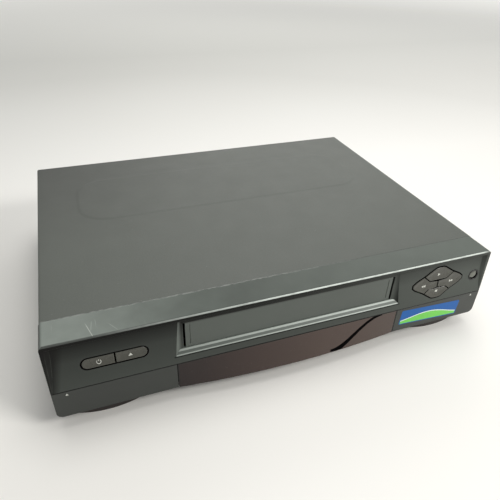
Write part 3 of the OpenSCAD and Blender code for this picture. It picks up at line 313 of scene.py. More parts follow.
def painted_joint_shade(f):
    """Painted shade: dark lines along the gaps where the doors and the window meet each other and the
    moulding above them.
    """
    x, _, z = f.axes()
    lines = f.band(z, BAND * MM, 0.00035)
    below_band = f.span(z, BAND * MM, (BAND - 1) * MM)
    for end in WINDOW_ENDS:
        lines = f.most(lines, f.product(f.band(x, end * MM, 0.0005), below_band))
    f.coat(NEAR_BLACK, lines)


SHADE_HEIGHT = 2.4


def moulded(name, colour, roughness, grain=2600.0, depth=0.00003, wear=0.35, soft=0.0003, uneven=0.05,
            lines=False, shaded_sides=False, shaded_top=None, **sockets):
    """Moulded plastic: fine grain, a little mottling and rubbed edges.

    Lines adds painted shade along the joints round the doors and the window. With shaded sides, what
    doesn't face forward is painted dark, as shade. A painted shade, deeper to the left, grows up to the
    height shaded_top and holds above it.
    """
    f = Finish(name, roughness, **sockets)
    fine = f.noise(grain, 3.0)
    patches = f.noise(18.0, 3.0, seed=2.0)
    f.shown = f.mix(f.span(patches, 0.3, 0.7), scaled(colour, 0.93), scaled(colour, 1.07))
    f.coat(scaled(colour, 1.5), f.span(fine, 0.35, 0.65, 0.0, 0.22))
    patchy = f.span(f.noise(260.0, 3.0, seed=5.0), 0.42, 0.6, 0.15, wear)
    f.coat(scaled(colour, 2.6), f.edge_mask(0.0007), patchy)
    if shaded_top:
        x, _, z = f.axes()
        rising = f.span(z, (shaded_top - SHADE_HEIGHT) * MM, shaded_top * MM)
        f.coat(tone(10, 10, 9), rising, f.span(x, 0.09, -0.05, 0.2, 0.9))
    # Painted shade on the sides that don't face forward, as in the gaps round the keys
    if shaded_sides:
        f.coat(NEAR_BLACK, f.span(f.facing("Y"), -0.7, -0.35))
    if lines:
        painted_joint_shade(f)
    f.rough(f.span(f.noise(70.0, 4.0, seed=3.0), 0.3, 0.7, roughness - uneven, roughness + uneven))
    f.relief(fine, depth, soft)
    return f.done()


def metal(name, colour, roughness, brushed=None, depth=0.00001):
    """Sheet or turned metal with fine marks along one way and a little tarnish."""
    f = Finish(name, roughness, 1.0)
    marks = f.noise(900.0, 3.0, stretch=brushed)
    tarnish = f.span(f.noise(35.0, 4.0, seed=4.0), 0.35, 0.7)
    f.shown = f.mix(tarnish, scaled(colour, 1.04), scaled(colour, 0.82))
    f.rough(f.span(marks, 0.3, 0.7, roughness - 0.08, roughness + 0.1))
    f.relief(marks, depth, 0.0002)
    return f.done()


def lacquered_board(name, colour, copper):
    """A circuit board: tracks under the lacquer, and a scatter of solder joints."""
    f = Finish(name, 0.38)
    x_way = f.span(f.noise(120.0, 1.0, stretch=(0.25, 2.2, 1.0)), 0.49, 0.51)
    y_way = f.span(f.noise(120.0, 1.0, stretch=(2.2, 0.25, 1.0), seed=6.0), 0.5, 0.52)
    tracks = f.most(f.product(x_way, 0.55), f.product(y_way, 0.4))
    dots = f.add("ShaderNodeTexVoronoi", {"Vector": f.place, "Scale": 300.0})
    joints = f.span(dots.outputs["Distance"], 0.2, 0.14)
    f.shown = f.mix(tracks, colour, copper)
    f.coat(tone(168, 170, 168), joints)
    f.relief(f.plus(tracks, joints), 0.00005)
    return f.done()


INSULATOR_R = 3.0
YELLOW = tone(222, 184, 24)
WHITE = tone(226, 226, 220)
RED = tone(190, 22, 20)


def phono_sockets(name, node, body_way, reach, columns, rows, pitch=16.0):
    """Socket bank: plated shells on a black body, with a coloured insulator in each mouth.

    The body starts at the reach from the mouths, on the side body_way. Columns are the insulators'
    colours and rows their heights.
    """
    low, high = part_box(node)
    f = Finish(name, 0.3)
    x, y, z = f.axes()
    mouths = low.y if body_way > 0 else high.y
    behind = f.product(f.less(y, mouths), body_way)
    shell = f.span(behind, (reach - 0.1) * MM, (reach - 0.2) * MM)
    wear = f.span(f.noise(400.0, 3.0), 0.4, 0.62)
    f.shown = f.mix(wear, tone(222, 184, 98), tone(178, 150, 94))
    insulator = 0.0
    middle = (low.x + high.x) / 2
    for i, paint in enumerate(columns):
        for row_z in rows:
            dx = f.less(x, middle + (i - 1) * pitch * MM)
            dz = f.less(z, row_z * MM)
            away = f.math("SQRT", f.plus(f.product(dx, dx), f.product(dz, dz)))
            within = f.span(away, (INSULATOR_R + 0.1) * MM, (INSULATOR_R - 0.1) * MM)
            f.coat(paint, within)
            insulator = f.most(insulator, within)
    f.shown = f.mix(shell, tone(20, 20, 21), f.shown)
    f.feed("Metallic", f.product(shell, f.less(1.0, insulator)))
    f.rough(f.span(f.noise(1500.0, 2.0), 0.3, 0.7, 0.24, 0.38))
    return f.done()


def wound_coil():
    """Varnished winding: fine turns of wire."""
    f = Finish("winding_varnish", 0.35)
    wave = f.add("ShaderNodeTexWave", {"Vector": f.place, "Scale": 900.0}, bands_direction="Z")
    turns = wave.outputs["Fac"]
    f.shown = f.mix(turns, tone(150, 92, 34), tone(196, 142, 60))
    f.relief(turns, 0.0001)
    return f.done()


def cover_finish():
    """Steel cover: a fine vinyl-like grain, faint smears, painted shade at the rear left, and a front edge
    worn light on the left with painted shade in its joint on the right.
    """
    base = tone(69, 73, 68)
    f = Finish("cover_steel", 0.46)
    x, y, _ = f.axes()
    grain = f.noise(1300.0, 2.0)
    fine = f.noise(4200.0, 1.0, seed=1.0)
    broad = f.span(f.noise(5.0, 3.0, seed=7.0), 0.3, 0.7)
    smears = f.span(f.noise(30.0, 4.0, stretch=(1.0, 0.35, 1.0), seed=8.0), 0.52, 0.75, 0.0, 0.5)
    f.shown = f.mix(broad, scaled(base, 0.93), scaled(base, 1.07))
    f.coat(scaled(base, 1.14), smears)
    f.coat(scaled(base, 1.6), f.span(grain, 0.35, 0.65, 0.0, 0.35))
    # Painted shade towards the rear left
    f.coat(scaled(base, 0.4), f.span(x, 0.04, -0.18), f.span(y, row(0, 90, 0).y, row(0, 300, 0).y))
    # The front edge: paint rubbed light on the left, and painted shade in the joint on the right
    line = f.near(y, row(0, 0.3, 0).y, 0.0006)
    patchy = f.span(f.noise(220.0, 6.0, seed=11.0), 0.38, 0.66)
    f.coat(tone(160, 164, 158), line, patchy, f.span(x, 0.07, 0.0, 0.15, 0.75))
    f.coat(tone(24, 25, 23), line, f.span(x, 0.02, 0.1, 0.0, 0.85))
    specks = f.span(f.noise(700.0, 2.0, seed=13.0), 0.72, 0.78, 0.0, 0.45)
    f.coat(tone(160, 162, 158), f.facing_up(), specks)
    f.rough(f.span(f.noise(45.0, 5.0, seed=3.0), 0.3, 0.7, 0.5, 0.55))
    f.relief(f.plus(f.product(grain, 0.7), f.product(fine, 0.3)), 0.00016, 0.0004)
    return f.done()


# Scratches on the strip on top: both ends as (x, depth), and how strongly they show
STRIP_SCRATCHES = [
    ((-163.6, -10.0), (-158.0, -30.5), 0.55),
    ((-158.6, -9.0), (-160.2, -21.0), 0.25),
    ((-148.0, -15.0), (-141.0, -26.0), 0.2),
    ((163.6, -25.0), (167.4, -36.5), 0.8),
]

# Places on the front moulding that its tones, its painted light and its painted shade follow, in millimetres
LIP_SHADE = 17.0
PAINTED_LIGHT_FROM = 12.0
END_WALL_TOP = 12.0
END_WALL_SLANT = 9.0
SURROUND = 14.0
SURROUND_SOFT = 2.0
CHEEK = 5.0
SILL_HIGHLIGHTS = (0.9, 3.5)
SILL_FOOT = 4.4
SILL_REACH = 6.0


def share_down(f, z):
    """0 at the lip, 1 at the foot of the upper face."""
    return f.span(z, LIP * MM, BAND * MM)


def beside_slot(f, x):
    """1 to the left and right of the slot's surround, 0 on it."""
    edge_x = SLOT_HALF + SURROUND
    return f.span(f.absolute(x), edge_x * MM, (edge_x + SURROUND_SOFT) * MM)


def moulding_and_painted_light(f, base, fine):
    """The moulding's own colour, with painted light: paler to the right and towards the foot of the upper
    face.
    """
    x, _, z = f.axes()
    broad = f.span(f.noise(11.0, 3.0, seed=7.0), 0.3, 0.7)
    f.shown = f.mix(broad, scaled(base, 0.92), scaled(base, 1.08))
    # Painted light: paler to the right, and paler towards the foot of the upper face
    f.coat(scaled(base, 2.7), f.span(x, -0.04, 0.16, 0.0, 0.9))
    f.coat(scaled(base, 2.1), f.span(z, (LIP - PAINTED_LIGHT_FROM) * MM, BAND * MM, 0.0, 0.6))
    f.coat(scaled(base, 1.7), f.span(fine, 0.35, 0.65, 0.0, 0.2))


def worn_strip(f):
    """The strip on top: haze that thickens to the left, scratches, and a broken pale line at the seam."""
    x, y, _ = f.axes()
    up = f.facing_up()
    clouds = f.span(f.noise(40.0, 4.0, seed=21.0), 0.3, 0.7, 0.7, 1.0)
    haze = f.mix(f.span(x, -0.08, -0.17), tone(96, 103, 97), tone(131, 138, 132))
    f.coat(haze, up, clouds, f.span(x, -0.04, -0.17, 0.6, 1.0))
    fine_marks = f.span(f.noise(420.0, 1.0, stretch=(1.0, 0.05, 1.0), seed=15.0), 0.7, 0.73, 0.0, 0.4)
    f.coat(tone(180, 182, 178), fine_marks, f.near(x, -0.155, 0.05), up)
    for (x0, y0), (x1, y1), strength in STRIP_SCRATCHES:
        start, end = row(x0, y0, 0), row(x1, y1, 0)
        scratch = f.stroke(x, y, (start.x, start.y), (end.x, end.y), 0.0004)
        f.coat(tone(205, 208, 200), scratch, up, strength)
    seam = f.product(f.near(y, row(0, -0.4, 0).y, 0.0008), f.span(x, 0.07, -0.02, 0.02, 0.6))
    f.coat(tone(150, 154, 150), seam, f.span(f.noise(160.0, 4.0, seed=12.0), 0.42, 0.6))


def shaded_face(f, front):
    """Dark below the lip, more so on the left, and on the slanting wall at the left end."""
    x, _, z = f.axes()
    below = f.span(z, (LIP + 0.5) * MM, (LIP - LIP_SHADE) * MM, 0.95, 0.0)
    f.coat(tone(9, 9, 8), below, front, f.span(x, 0.12, -0.12, 0.5, 1.0))
    slant = f.product(share_down(f, z), END_WALL_SLANT * MM)
    end_wall = f.plus(f.plus(x, (HALF - END_WALL_TOP) * MM), slant)
    f.coat(tone(12, 11, 10), f.span(end_wall, 0.004, -0.002, 0.0, 0.8), front)


def painted_hole_shade(f):
    """Painted shade where the moulding lies deeper than its upper face, which is inside the holes for the
    keys.
    """
    x, y, z = f.axes()
    part = share_down(f, z)
    bow = f.product(part, f.less(1.0, part), 4 * HOLLOW * MM)
    lean = f.product(f.less(1.0, part), LEAN * MM)
    depth = f.less(f.less(y, row(0, FACE, 0).y), f.plus(bow, lean))
    within_cheeks = f.span(f.absolute(x), (HALF - CHEEK) * MM, (HALF - CHEEK - 1) * MM)
    inside = f.product(f.span(depth, 0.0003, 0.001), beside_slot(f, x), within_cheeks)
    f.coat(tone(6, 6, 6), inside, f.span(z, LIP * MM, (LIP - 1) * MM))


def slot_light_and_shade(f, front):
    """The slot's surround in painted light and shade: a paler lit sill with two painted highlight lines and
    a painted shadow below it, a paler lit left cove and a shaded dark right one.
    """
    x, _, z = f.axes()
    slot = f.product(f.less(1.0, beside_slot(f, x)), f.span(z, LIP * MM, (LIP - 1) * MM))
    sill = f.product(f.band(f.facing("Z"), 0.7, 0.25, 0.1), slot)
    lit_to_right = f.span(x, -0.1, 0.06, 0.5, 1.0)
    # Painted light on the sill, stronger to the right
    f.coat(tone(108, 114, 109), sill, lit_to_right)
    # Painted highlights: two bright lines along the sill
    upper, lower = ((SILL_Z - down) * MM for down in SILL_HIGHLIGHTS)
    bright = f.most(f.band(z, upper, 0.0004), f.band(z, lower, 0.0002))
    f.coat(tone(190, 198, 191), sill, bright, lit_to_right)
    # Painted shadow below the sill
    foot = f.band(z, (SILL_Z - SILL_FOOT) * MM, 0.0004)
    f.coat(tone(8, 8, 8), front, foot, f.band(x, 0.0, (SLOT_HALF + SILL_REACH) * MM), 0.8)
    # Painted light on the left cove, which faces right, and painted shade on the right cove
    f.coat(tone(112, 118, 113), f.span(f.facing("X"), 0.15, 0.5), slot, 0.75)
    f.coat(tone(20, 21, 20), f.span(f.facing("X"), -0.3, -0.7), slot, 0.7)


def worn_edges_and_lip_highlight(f, base, front):
    """Edges rubbed pale, though not in the painted shade below the lip, and a painted highlight along the
    strip's rounded front edge, stronger to the right.
    """
    x, y, z = f.axes()
    below_lip = f.span(z, (LIP + 0.6) * MM, (LIP + 0.1) * MM)
    above_slot = f.span(z, (LIP - 1) * MM, (LIP - 9) * MM, 1.0, 0.0)
    in_open = f.less(1.0, f.product(below_lip, above_slot, front))
    patchy = f.span(f.noise(90.0, 5.0, seed=5.0), 0.35, 0.6, 0.1, 0.45)
    f.coat(scaled(base, 3.0), f.edge_mask(0.0008), patchy, in_open)
    # Painted highlight along the strip's rounded front edge, stronger to the right and fading near the
    # corner
    lip_highlight = f.product(f.band(z, (TOP - 0.7) * MM, 0.0004), f.band(y, row(0, STRIP + 0.3, 0).y, 0.0005))
    uneven = f.span(f.noise(130.0, 4.0, seed=17.0), 0.25, 0.5, 0.65, 1.0)
    fading = f.span(x, (HALF - 3) * MM, (HALF - 9) * MM, 0.3, 1.0)
    f.coat(tone(206, 213, 207), lip_highlight, f.span(x, -0.16, 0.0, 0.1, 1.0), uneven, fading)


def bezel_finish():
    """The front moulding: a hazy strip on top, a painted highlight along the lip, and painted shade below it
    and in the holes.
    """
    base = tone(51, 54, 51)
    f = Finish("front_moulding", 0.34, Specular_IOR_Level=0.13)
    fine = f.noise(2600.0, 3.0)
    front = f.span(f.facing("Y"), -0.2, -0.6)
    moulding_and_painted_light(f, base, fine)
    worn_strip(f)
    shaded_face(f, front)
    painted_hole_shade(f)
    slot_light_and_shade(f, front)
    worn_edges_and_lip_highlight(f, base, front)
    painted_joint_shade(f)
    f.rough(f.span(f.noise(60.0, 4.0, seed=3.0), 0.3, 0.7, 0.36, 0.42))
    f.relief(fine, 0.00003, 0.0007)
    return f.done()


def window_finish():
    """Smoked window: a deep red-brown body under gloss, with a painted reflection that makes it greyer on
    the right.
    """
    f = Finish("smoked_window", 0.08, IOR=1.42)
    x = f.axes()[0]
    f.shown = f.mix(f.span(f.noise(14.0, 2.0), 0.3, 0.7), tone(24, 12, 11), tone(35, 19, 18))
    # Painted reflection: paler and greyer on the right
    f.coat(tone(72, 58, 52), f.span(x, -0.1, 0.03))
    f.coat(tone(140, 134, 128), f.span(f.noise(1100.0, 2.0, seed=9.0), 0.68, 0.76, 0.0, 0.3))
    painted_joint_shade(f)
    f.rough(f.span(f.noise(40.0, 5.0, seed=3.0), 0.4, 0.75, 0.1, 0.2))
    f.relief(f.noise(900.0, 2.0), 0.000004)
    return f.done()


def matt_dark():
    """For thin lines of painted shade and painted reflection that should read as dark whatever the light."""
    f = Finish("matt_dark", 0.9, Specular_IOR_Level=0.02)
    f.shown = tone(7, 6, 6)
    return f.done()


finishes = {
    "cover": cover_finish(),
    "bezel": bezel_finish(),
    # The doors get painted shade along their joints
    "door": moulded("door_moulding", tone(52, 55, 52), 0.36, soft=0.0008, lines=True,
                    Specular_IOR_Level=0.35),
    "niche": moulded("niche_moulding", tone(46, 48, 46), 0.5),
    "flap": moulded("flap_moulding", tone(74, 80, 75), 0.34, grain=3600.0, depth=0.00001, wear=0.2,
                    uneven=0.01, shaded_top=SLOT_TOP),
    # The keys' sides get painted shade
    "key": moulded("key_moulding", tone(62, 62, 55), 0.27, depth=0.00002, wear=0.7, soft=0.0002,
                    shaded_sides=True),
    "window": window_finish(),
    # Painted shade for the gap round the record knob
    "ring": moulded("dark_ring", tone(22, 22, 22), 0.4),
    "foot": moulded("foot_moulding", tone(30, 22, 20), 0.45),
    "rubber": moulded("rubber_black", tone(34, 34, 35), 0.75, grain=1800.0),
    "tray": moulded("tray_moulding", tone(58, 60, 58), 0.6, grain=1400.0, depth=0.00006),
    "black": moulded("black_moulding", tone(32, 32, 33), 0.45),
    "acetal": moulded("acetal_natural", tone(222, 218, 206), 0.4, wear=0.1),
    "steel": metal("zinc_plate", tone(176, 178, 178), 0.36, (1.0, 0.12, 1.0)),
    "bright": metal("bright_steel", tone(206, 206, 205), 0.2, (1.0, 1.0, 0.2)),
    "alloy": metal("cast_alloy", tone(178, 178, 180), 0.5, None, 0.00006),
    "drum": metal("turned_alloy", tone(214, 214, 216), 0.24, (0.1, 0.1, 3.0)),
    "knob": metal("satin_knob", tone(122, 124, 118), 0.2, None),
    "green_board": lacquered_board("green_board", tone(24, 70, 34), tone(52, 112, 58)),
    "brown_board": lacquered_board("phenolic_board", tone(146, 104, 58), tone(176, 132, 80)),
    "front_sockets": phono_sockets("front_socket_bank", "front_av_sockets", body_way=1, reach=7.5,
                                   columns=(YELLOW, WHITE, RED), rows=(27.0,)),
    "rear_sockets": phono_sockets("rear_socket_bank", "rear_av_sockets", body_way=-1, reach=10.0,
                                  columns=(RED, WHITE, YELLOW), rows=(33.6, 49.6)),
    "winding": wound_coil(),
    "glass": moulded("display_glass", tone(16, 40, 40), 0.1, depth=0.000002, wear=0.05),
    "spring": metal("spring_wire", tone(190, 190, 188), 0.3, None),
}
finish_of = {
    "cover": "top_cover",
    "bezel": "front_bezel",
    "niche": "niche_panel",
    "window": "display_window",
    "door": "left_door right_door",
    "flap": "cassette_flap",
    "key": ("power_key eject_key play_key rewind_key forward_key stop_key channel_up_key "
            "channel_down_key"),
    "knob": "record_key",
    "foot": "front_feet",
    "rubber": "rear_feet idler_wheel drive_belt pinch_roller",
    "tray": "bottom_tray",
    "steel": ("rear_panel tuner_module deck_plate lift_frame lift_carriage cassette_holder idler_arm "
              "pinch_arm tension_arm"),
    "bright": "cover_screws capstan loading_motor supply_guide takeup_guide tape_heads",
    "alloy": "heat_sink drum_base",
    "drum": "lower_drum upper_drum",
    "green_board": "main_board capstan_stator",
    "brown_board": "front_board power_board",
    "black": "key_switches board_components drum_motor power_inlet",
    "acetal": "lift_gear clutch_pulley supply_reel takeup_reel mode_gear loading_pinion",
    "front_sockets": "front_av_sockets",
    "rear_sockets": "rear_av_sockets",
    "winding": "transformer",
    "glass": "fluorescent_display",
    "spring": "flap_spring",
}
for finish, names in finish_of.items():
    for name in names.split():
        NODES[name].data.materials.clear()
        NODES[name].data.materials.append(finishes[finish])
        soften(NODES[name].data)


def piece(name, vertices, faces, material, node):
    """A mesh in the row's frame that rides with a CAD node's body."""
    mesh = bpy.data.meshes.new(name)
    mesh.from_pydata([tuple(v) for v in vertices], [], faces)
    mesh.materials.append(material)
    made = added(name, mesh)
    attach(made, NODES[node]["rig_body"])
    return made


def bake(made):
    """Leaves the result of a piece's modifiers as its own mesh."""
    solid = made.evaluated_get(bpy.context.evaluated_depsgraph_get())
    made.data = bpy.data.meshes.new_from_object(solid)
    made.modifiers.clear()


# The front moulding, with its upper corners rounded from front to back
CORNER = 3.5
CORNER_STEPS = 10
CUT_CLEAR = 0.02
CUT_MARGIN = 1.0
CUT_DEPTHS = (FACE - 12, 0.5)
WELD_REACH = 0.000001


def corner_bars():
    """A tool for one cut: what goes off the moulding's two upper corners, as bars from front to back."""
    low_x, low_z = HALF - CORNER + CUT_CLEAR, TOP - CORNER + CUT_CLEAR
    out_x, out_z = HALF + CUT_MARGIN, TOP + CUT_MARGIN
    outline = arc(low_x, low_z, CORNER, 90, 0, CORNER_STEPS)
    outline += [(out_x, low_z), (out_x, out_z), (low_x, out_z)]
    form = bmesh.new()
    for way in (-1, 1):
        near, far = ([form.verts.new(row(way * x, y, z)) for x, z in outline] for y in CUT_DEPTHS)
        form.faces.new(near)
        form.faces.new(far)
        for i in range(len(outline)):
            form.faces.new((near[i - 1], near[i], far[i], far[i - 1]))
    bmesh.ops.recalc_face_normals(form, faces=form.faces)
    mesh = bpy.data.meshes.new("corner_bars")
    form.to_mesh(mesh)
    form.free()
    return added("corner_bars", mesh)


def rounded_moulding():
    """The CAD's front moulding less the corner bars."""
    plain = NODES["front_bezel"].data
    vertices = [v.co for v in plain.vertices]
    faces = [list(p.vertices) for p in plain.polygons]
    made = piece("front_moulding", vertices, faces, finishes["bezel"], "front_bezel")
    weld = made.modifiers.new("weld", "WELD")
    weld.merge_threshold = WELD_REACH
    cut = made.modifiers.new("corners", "BOOLEAN")
    cut.operation = "DIFFERENCE"
    cut.solver = "EXACT"
    bars = corner_bars()
    cut.object = bars
    bake(made)
    bpy.data.objects.remove(bars)
    soften(made.data)
    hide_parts("front_bezel")


rounded_moulding()


def on_face(x, z):
    """Depth of the upper face, as face_plate asks for it."""
    return face_at(z)


def on_door(x, z):
    """Depth of the doors' flat fronts."""
    return FACE


PLATE_ROOT = 0.3


def face_plate(name, outlines, lift, material, node, surface=on_face):
    """Thin raised shapes that follow a surface, a depth for each (x, z). Each outline is (x, z) points."""
    vertices, faces = [], []
    for outline in outlines:
        start, count = len(vertices), len(outline)
        for proud in (lift, -PLATE_ROOT):
            for x, z in outline:
                vertices.append(row(x, surface(x, z) - proud, z))
        faces.append([start + i for i in range(count)])
        faces.append([start + count + i for i in reversed(range(count))])
        for i in range(count):
            j = (i + 1) % count
            faces.append([start + j, start + i, start + count + i, start + count + j])
    piece(name, vertices, faces, material, node)


RING_STEPS = 32


def ring_quads(x, z, outer, inner, gap):
    """A ring as small quads, open at its top by gap degrees."""
    quads = []
    first, last = math.radians(90 + gap / 2), math.radians(450 - gap / 2)
    for i in range(RING_STEPS):
        a, b = (first + (last - first) * k / RING_STEPS for k in (i, i + 1))
        quads.append([(x + r * math.cos(t), z + r * math.sin(t))
                      for r, t in ((outer, a), (outer, b), (inner, b), (inner, a))])
    return quads


def bar(x, z, width, height):
    """An upright rectangle round its middle."""
    w, h = width / 2, height / 2
    return [(x - w, z - h), (x + w, z - h), (x + w, z + h), (x - w, z + h)]


def arrow(x, z, width, height, way):
    """A triangle that points left (-1), right (1) or up (0)."""
    w, h = width / 2, height / 2
    if way == 0:
        return [(x - w, z - h), (x + w, z - h), (x, z + h)]
    return [(x - way * w, z - h), (x + way * w, z), (x - way * w, z + h)]


def grid_faces(rows, columns, flip=False):
    """Quads between rows of vertices."""
    faces = []
    for i in range(rows - 1):
        for j in range(columns - 1):
            a = i * columns + j
            quad = [a, a + 1, a + 1 + columns, a + columns]
            faces.append(quad[::-1] if flip else quad)
    return faces


def ease(t):
    """A smooth rise from 0 to 1, held beyond both."""
    t = max(0.0, min(1.0, t))
    return t * t * (3 - 2 * t)


# Steel cover: one folded sheet with side vents, a turned rear flange and a softly stamped field
FIELD_WIDTH = 314.0
FIELD_DEPTH = 92.0
FIELD_CORNER = 30.0
FIELD_INSET = 47.0
FIELD_FAR = COVER_END - FIELD_INSET
FIELD_NEAR = FIELD_FAR - FIELD_DEPTH
FIELD_RISE = FIELD_TOP - TOP
FIELD_SLOPE = 2.6
SHEET = 1.0
BEND = 2.0
FLANGE = 9.0
VENTS = 9
VENT_INSET = 40.0
VENT_PITCH = 9.0
VENT_WIDTH = 3.0
VENT_CLEAR = 0.7
VENT_Z = (CASE + 24.0, CASE + 46.0)


def between(low, high, step):
    """Even steps from low up to, but not at, high."""
    count = max(1, round((high - low) / step))
    return [low + (high - low) * i / count for i in range(count)]


def field_height(x, y):
    """The stamped field's rise at a point of the cover, eased over a slope at its rounded border."""
    dx = max(abs(x) - (FIELD_WIDTH / 2 - FIELD_CORNER), 0.0)
    dy = max(abs(y - (FIELD_FAR - FIELD_DEPTH / 2)) - (FIELD_DEPTH / 2 - FIELD_CORNER), 0.0)
    return FIELD_RISE * ease((FIELD_CORNER - math.hypot(dx, dy)) / FIELD_SLOPE)


def cover_profile():
    """The sheet's section as (x, z), from one foot over the top to the other, finest at the field's ends."""
    near_x, far_x = FIELD_WIDTH / 2 - FIELD_CORNER, FIELD_WIDTH / 2 + 1
    half_line = between(0.0, near_x, 14.0) + between(near_x, far_x, 1.4)
    half_line += between(far_x, COVER_HALF - BEND, 9.0)
    across = [-x for x in reversed(half_line)] + half_line[1:]
    side_z = between(CASE, VENT_Z[0], 9.0) + between(*VENT_Z, 8.0) + between(VENT_Z[1], TOP - BEND, 9.0)
    right = [(COVER_HALF, z) for z in side_z] + arc(COVER_HALF - BEND, TOP - BEND, BEND, 0, 90, 6)
    return [(-x, z) for x, z in right] + [(x, TOP) for x in across] + list(reversed(right))


def cover_depths(vents):
    """Depths of the sheet's rows: finest where the field's border curves, with both sides of each vent."""
    stops = (0.0, FIELD_NEAR - 1, FIELD_NEAR + FIELD_CORNER,
             FIELD_FAR - FIELD_CORNER, FIELD_FAR + 1, COVER_END)
    ys = {COVER_END}
    for low, high, step in zip(stops, stops[1:], (12.0, 1.5, 8.0, 1.5, 9.0)):
        ys.update(between(low, high, step))
    ys = {y for y in ys if not any(low - VENT_CLEAR < y < high + VENT_CLEAR for low, high in vents)}
    return sorted(ys.union(*vents))


def cover_sheet():
    """The folded sheet with its vents and rear flange, thickened inwards."""
    vent_starts = [COVER_END - VENT_INSET - i * VENT_PITCH for i in range(VENTS)]
    ys = cover_depths([(y, y + VENT_WIDTH) for y in vent_starts])
    profile = cover_profile()
    vertices = []
    for y in ys:
        for x, z in profile:
            rise = field_height(x, y) if z >= TOP - 1e-6 else 0.0
            vertices.append(row(x, y, z + rise))
    shrink_x = (COVER_HALF - FLANGE) / COVER_HALF
    shrink_z = (TOP - FLANGE - CASE) / (TOP - CASE)
    for x, z in profile:
        vertices.append(row(x * shrink_x, COVER_END, CASE + (z - CASE) * shrink_z))
    count = len(profile)
    faces = []
    for i, y in enumerate(ys):
        for j in range(count - 1):
            low = min(profile[j][1], profile[j + 1][1])
            side = abs(profile[j][0]) == COVER_HALF and abs(profile[j + 1][0]) == COVER_HALF
            if not (y in vent_starts and side and VENT_Z[0] - 0.1 < low < VENT_Z[1] - 0.1):
                a = i * count + j
                faces.append([a, a + 1, a + 1 + count, a + count])
    made = piece("cover_sheet", vertices, faces, finishes["cover"], "top_cover")
    sheet = made.modifiers.new("sheet", "SOLIDIFY")
    sheet.thickness = SHEET * MM
    sheet.offset = -1.0
    bake(made)
    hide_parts("top_cover")
    smooth(made)


cover_sheet()


# Key caps with rounded rims and dished faces
def clip(outline, point, normal):
    """Keeps the part of an outline on the side that the normal points to."""
    kept = []
    for a, b in zip(outline, outline[1:] + outline[:1]):
        da, db = (sum((q - p) * n for q, p, n in zip(v, point, normal)) for v in (a, b))
        if da >= 0:
            kept.append(a)
        if da * db < 0:
            t = da / (da - db)
            kept.append((a[0] + (b[0] - a[0]) * t, a[1] + (b[1] - a[1]) * t))
    return kept


def to_outline(outline, x, z):
    """Distance from a point to an outline."""
    best = 1e9
    for (ax, az), (bx, bz) in zip(outline, outline[1:] + outline[:1]):
        dx, dz = bx - ax, bz - az
        t = max(0.0, min(1.0, ((x - ax) * dx + (z - az) * dz) / max(dx * dx + dz * dz, 1e-9)))
        best = min(best, math.hypot(x - ax - t * dx, z - az - t * dz))
    return best


def width_at(outline, z):
    """The outline's left and right ends at a height."""
    found = []
    for (ax, az), (bx, bz) in zip(outline, outline[1:] + outline[:1]):
        if min(az, bz) <= z <= max(az, bz):
            t = 0.0 if abs(bz - az) < 1e-9 else (z - az) / (bz - az)
            found += [ax + (bx - ax) * t] + ([bx] if abs(bz - az) < 1e-9 else [])
    return min(found), max(found)


RIM_R = 0.55
DISH_FROM = 0.3
DISH_SLOPE = 4.0
STEM_R = 1.6
STEM_SIDES = 16
STEM_LAP = 0.5


def bunched(count, ends=5, share=0.09):
    """Steps from 0 to 1, closer together near both ends."""
    near = [share * (i / ends) ** 1.5 for i in range(ends + 1)]
    middle = [share + (1 - 2 * share) * i / count for i in range(1, count)]
    return near + middle + [1 - t for t in reversed(near)]


def border(tall, wide):
    """The outer vertices of a grid, once round."""
    loop = list(range(wide)) + [i * wide + wide - 1 for i in range(1, tall)]
    loop += [(tall - 1) * wide + j for j in reversed(range(wide - 1))]
    return loop + [i * wide for i in reversed(range(1, tall - 1))]


def add_stem(vertices, faces, x, z, tip):
    """A round stem from a cap's back to its switch."""
    start = len(vertices)
    section = arc(x, z, STEM_R * MM, 0, 360, STEM_SIDES)[:-1]
    for y in (row(0, KEY_BACK - STEM_LAP, 0).y, tip):
        vertices += [Vector((stem_x, y, stem_z)) for stem_x, stem_z in section]
    for i in range(STEM_SIDES):
        j = (i + 1) % STEM_SIDES
        faces.append([start + i, start + j, start + STEM_SIDES + j, start + STEM_SIDES + i])
    faces.append([start + STEM_SIDES + i for i in range(STEM_SIDES)])


def key_cap(name, node, outline, proud, dish):
    """A cap that stands for a CAD key: dished face, rounded rim, skirt and a stem to its switch.

    It gives back the depth of its face, for the symbol on it.
    """
    def surface(x, z):
        d = to_outline(outline, x, z)
        rim = RIM_R - math.sqrt(max(0.0, RIM_R ** 2 - max(0.0, RIM_R - d) ** 2))
        return face_at(z) - proud + rim + dish * ease((d - DISH_FROM) / DISH_SLOPE)

    low, high = min(z for x, z in outline) + 0.001, max(z for x, z in outline) - 0.001
    ups, acrosses = bunched(14), bunched(26)
    rows = []
    for v in ups:
        z = low + (high - low) * v
        left, right = width_at(outline, z)
        rows.append([(left + (right - left) * u, z) for u in acrosses])
    vertices = [row(x, surface(x, z), z) for line in rows for x, z in line]
    tall, wide = len(ups), len(acrosses)
    faces = grid_faces(tall, wide)
    loop = border(tall, wide)
    start = len(vertices)
    vertices += [Vector((vertices[k].x, row(0, KEY_BACK, 0).y, vertices[k].z)) for k in loop]
    count = len(loop)
    faces += [[loop[(i + 1) % count], loop[i], start + i, start + (i + 1) % count] for i in range(count)]
    faces.append([start + i for i in range(count)])
    node_low, node_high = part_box(node)
    middle_z = sum(z for x, z in outline) / len(outline) * MM
    add_stem(vertices, faces, (node_low.x + node_high.x) / 2, middle_z, node_high.y)
    made = piece(name, vertices, faces, finishes["key"], node)
    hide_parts(node)
    smooth(made)
    return surface


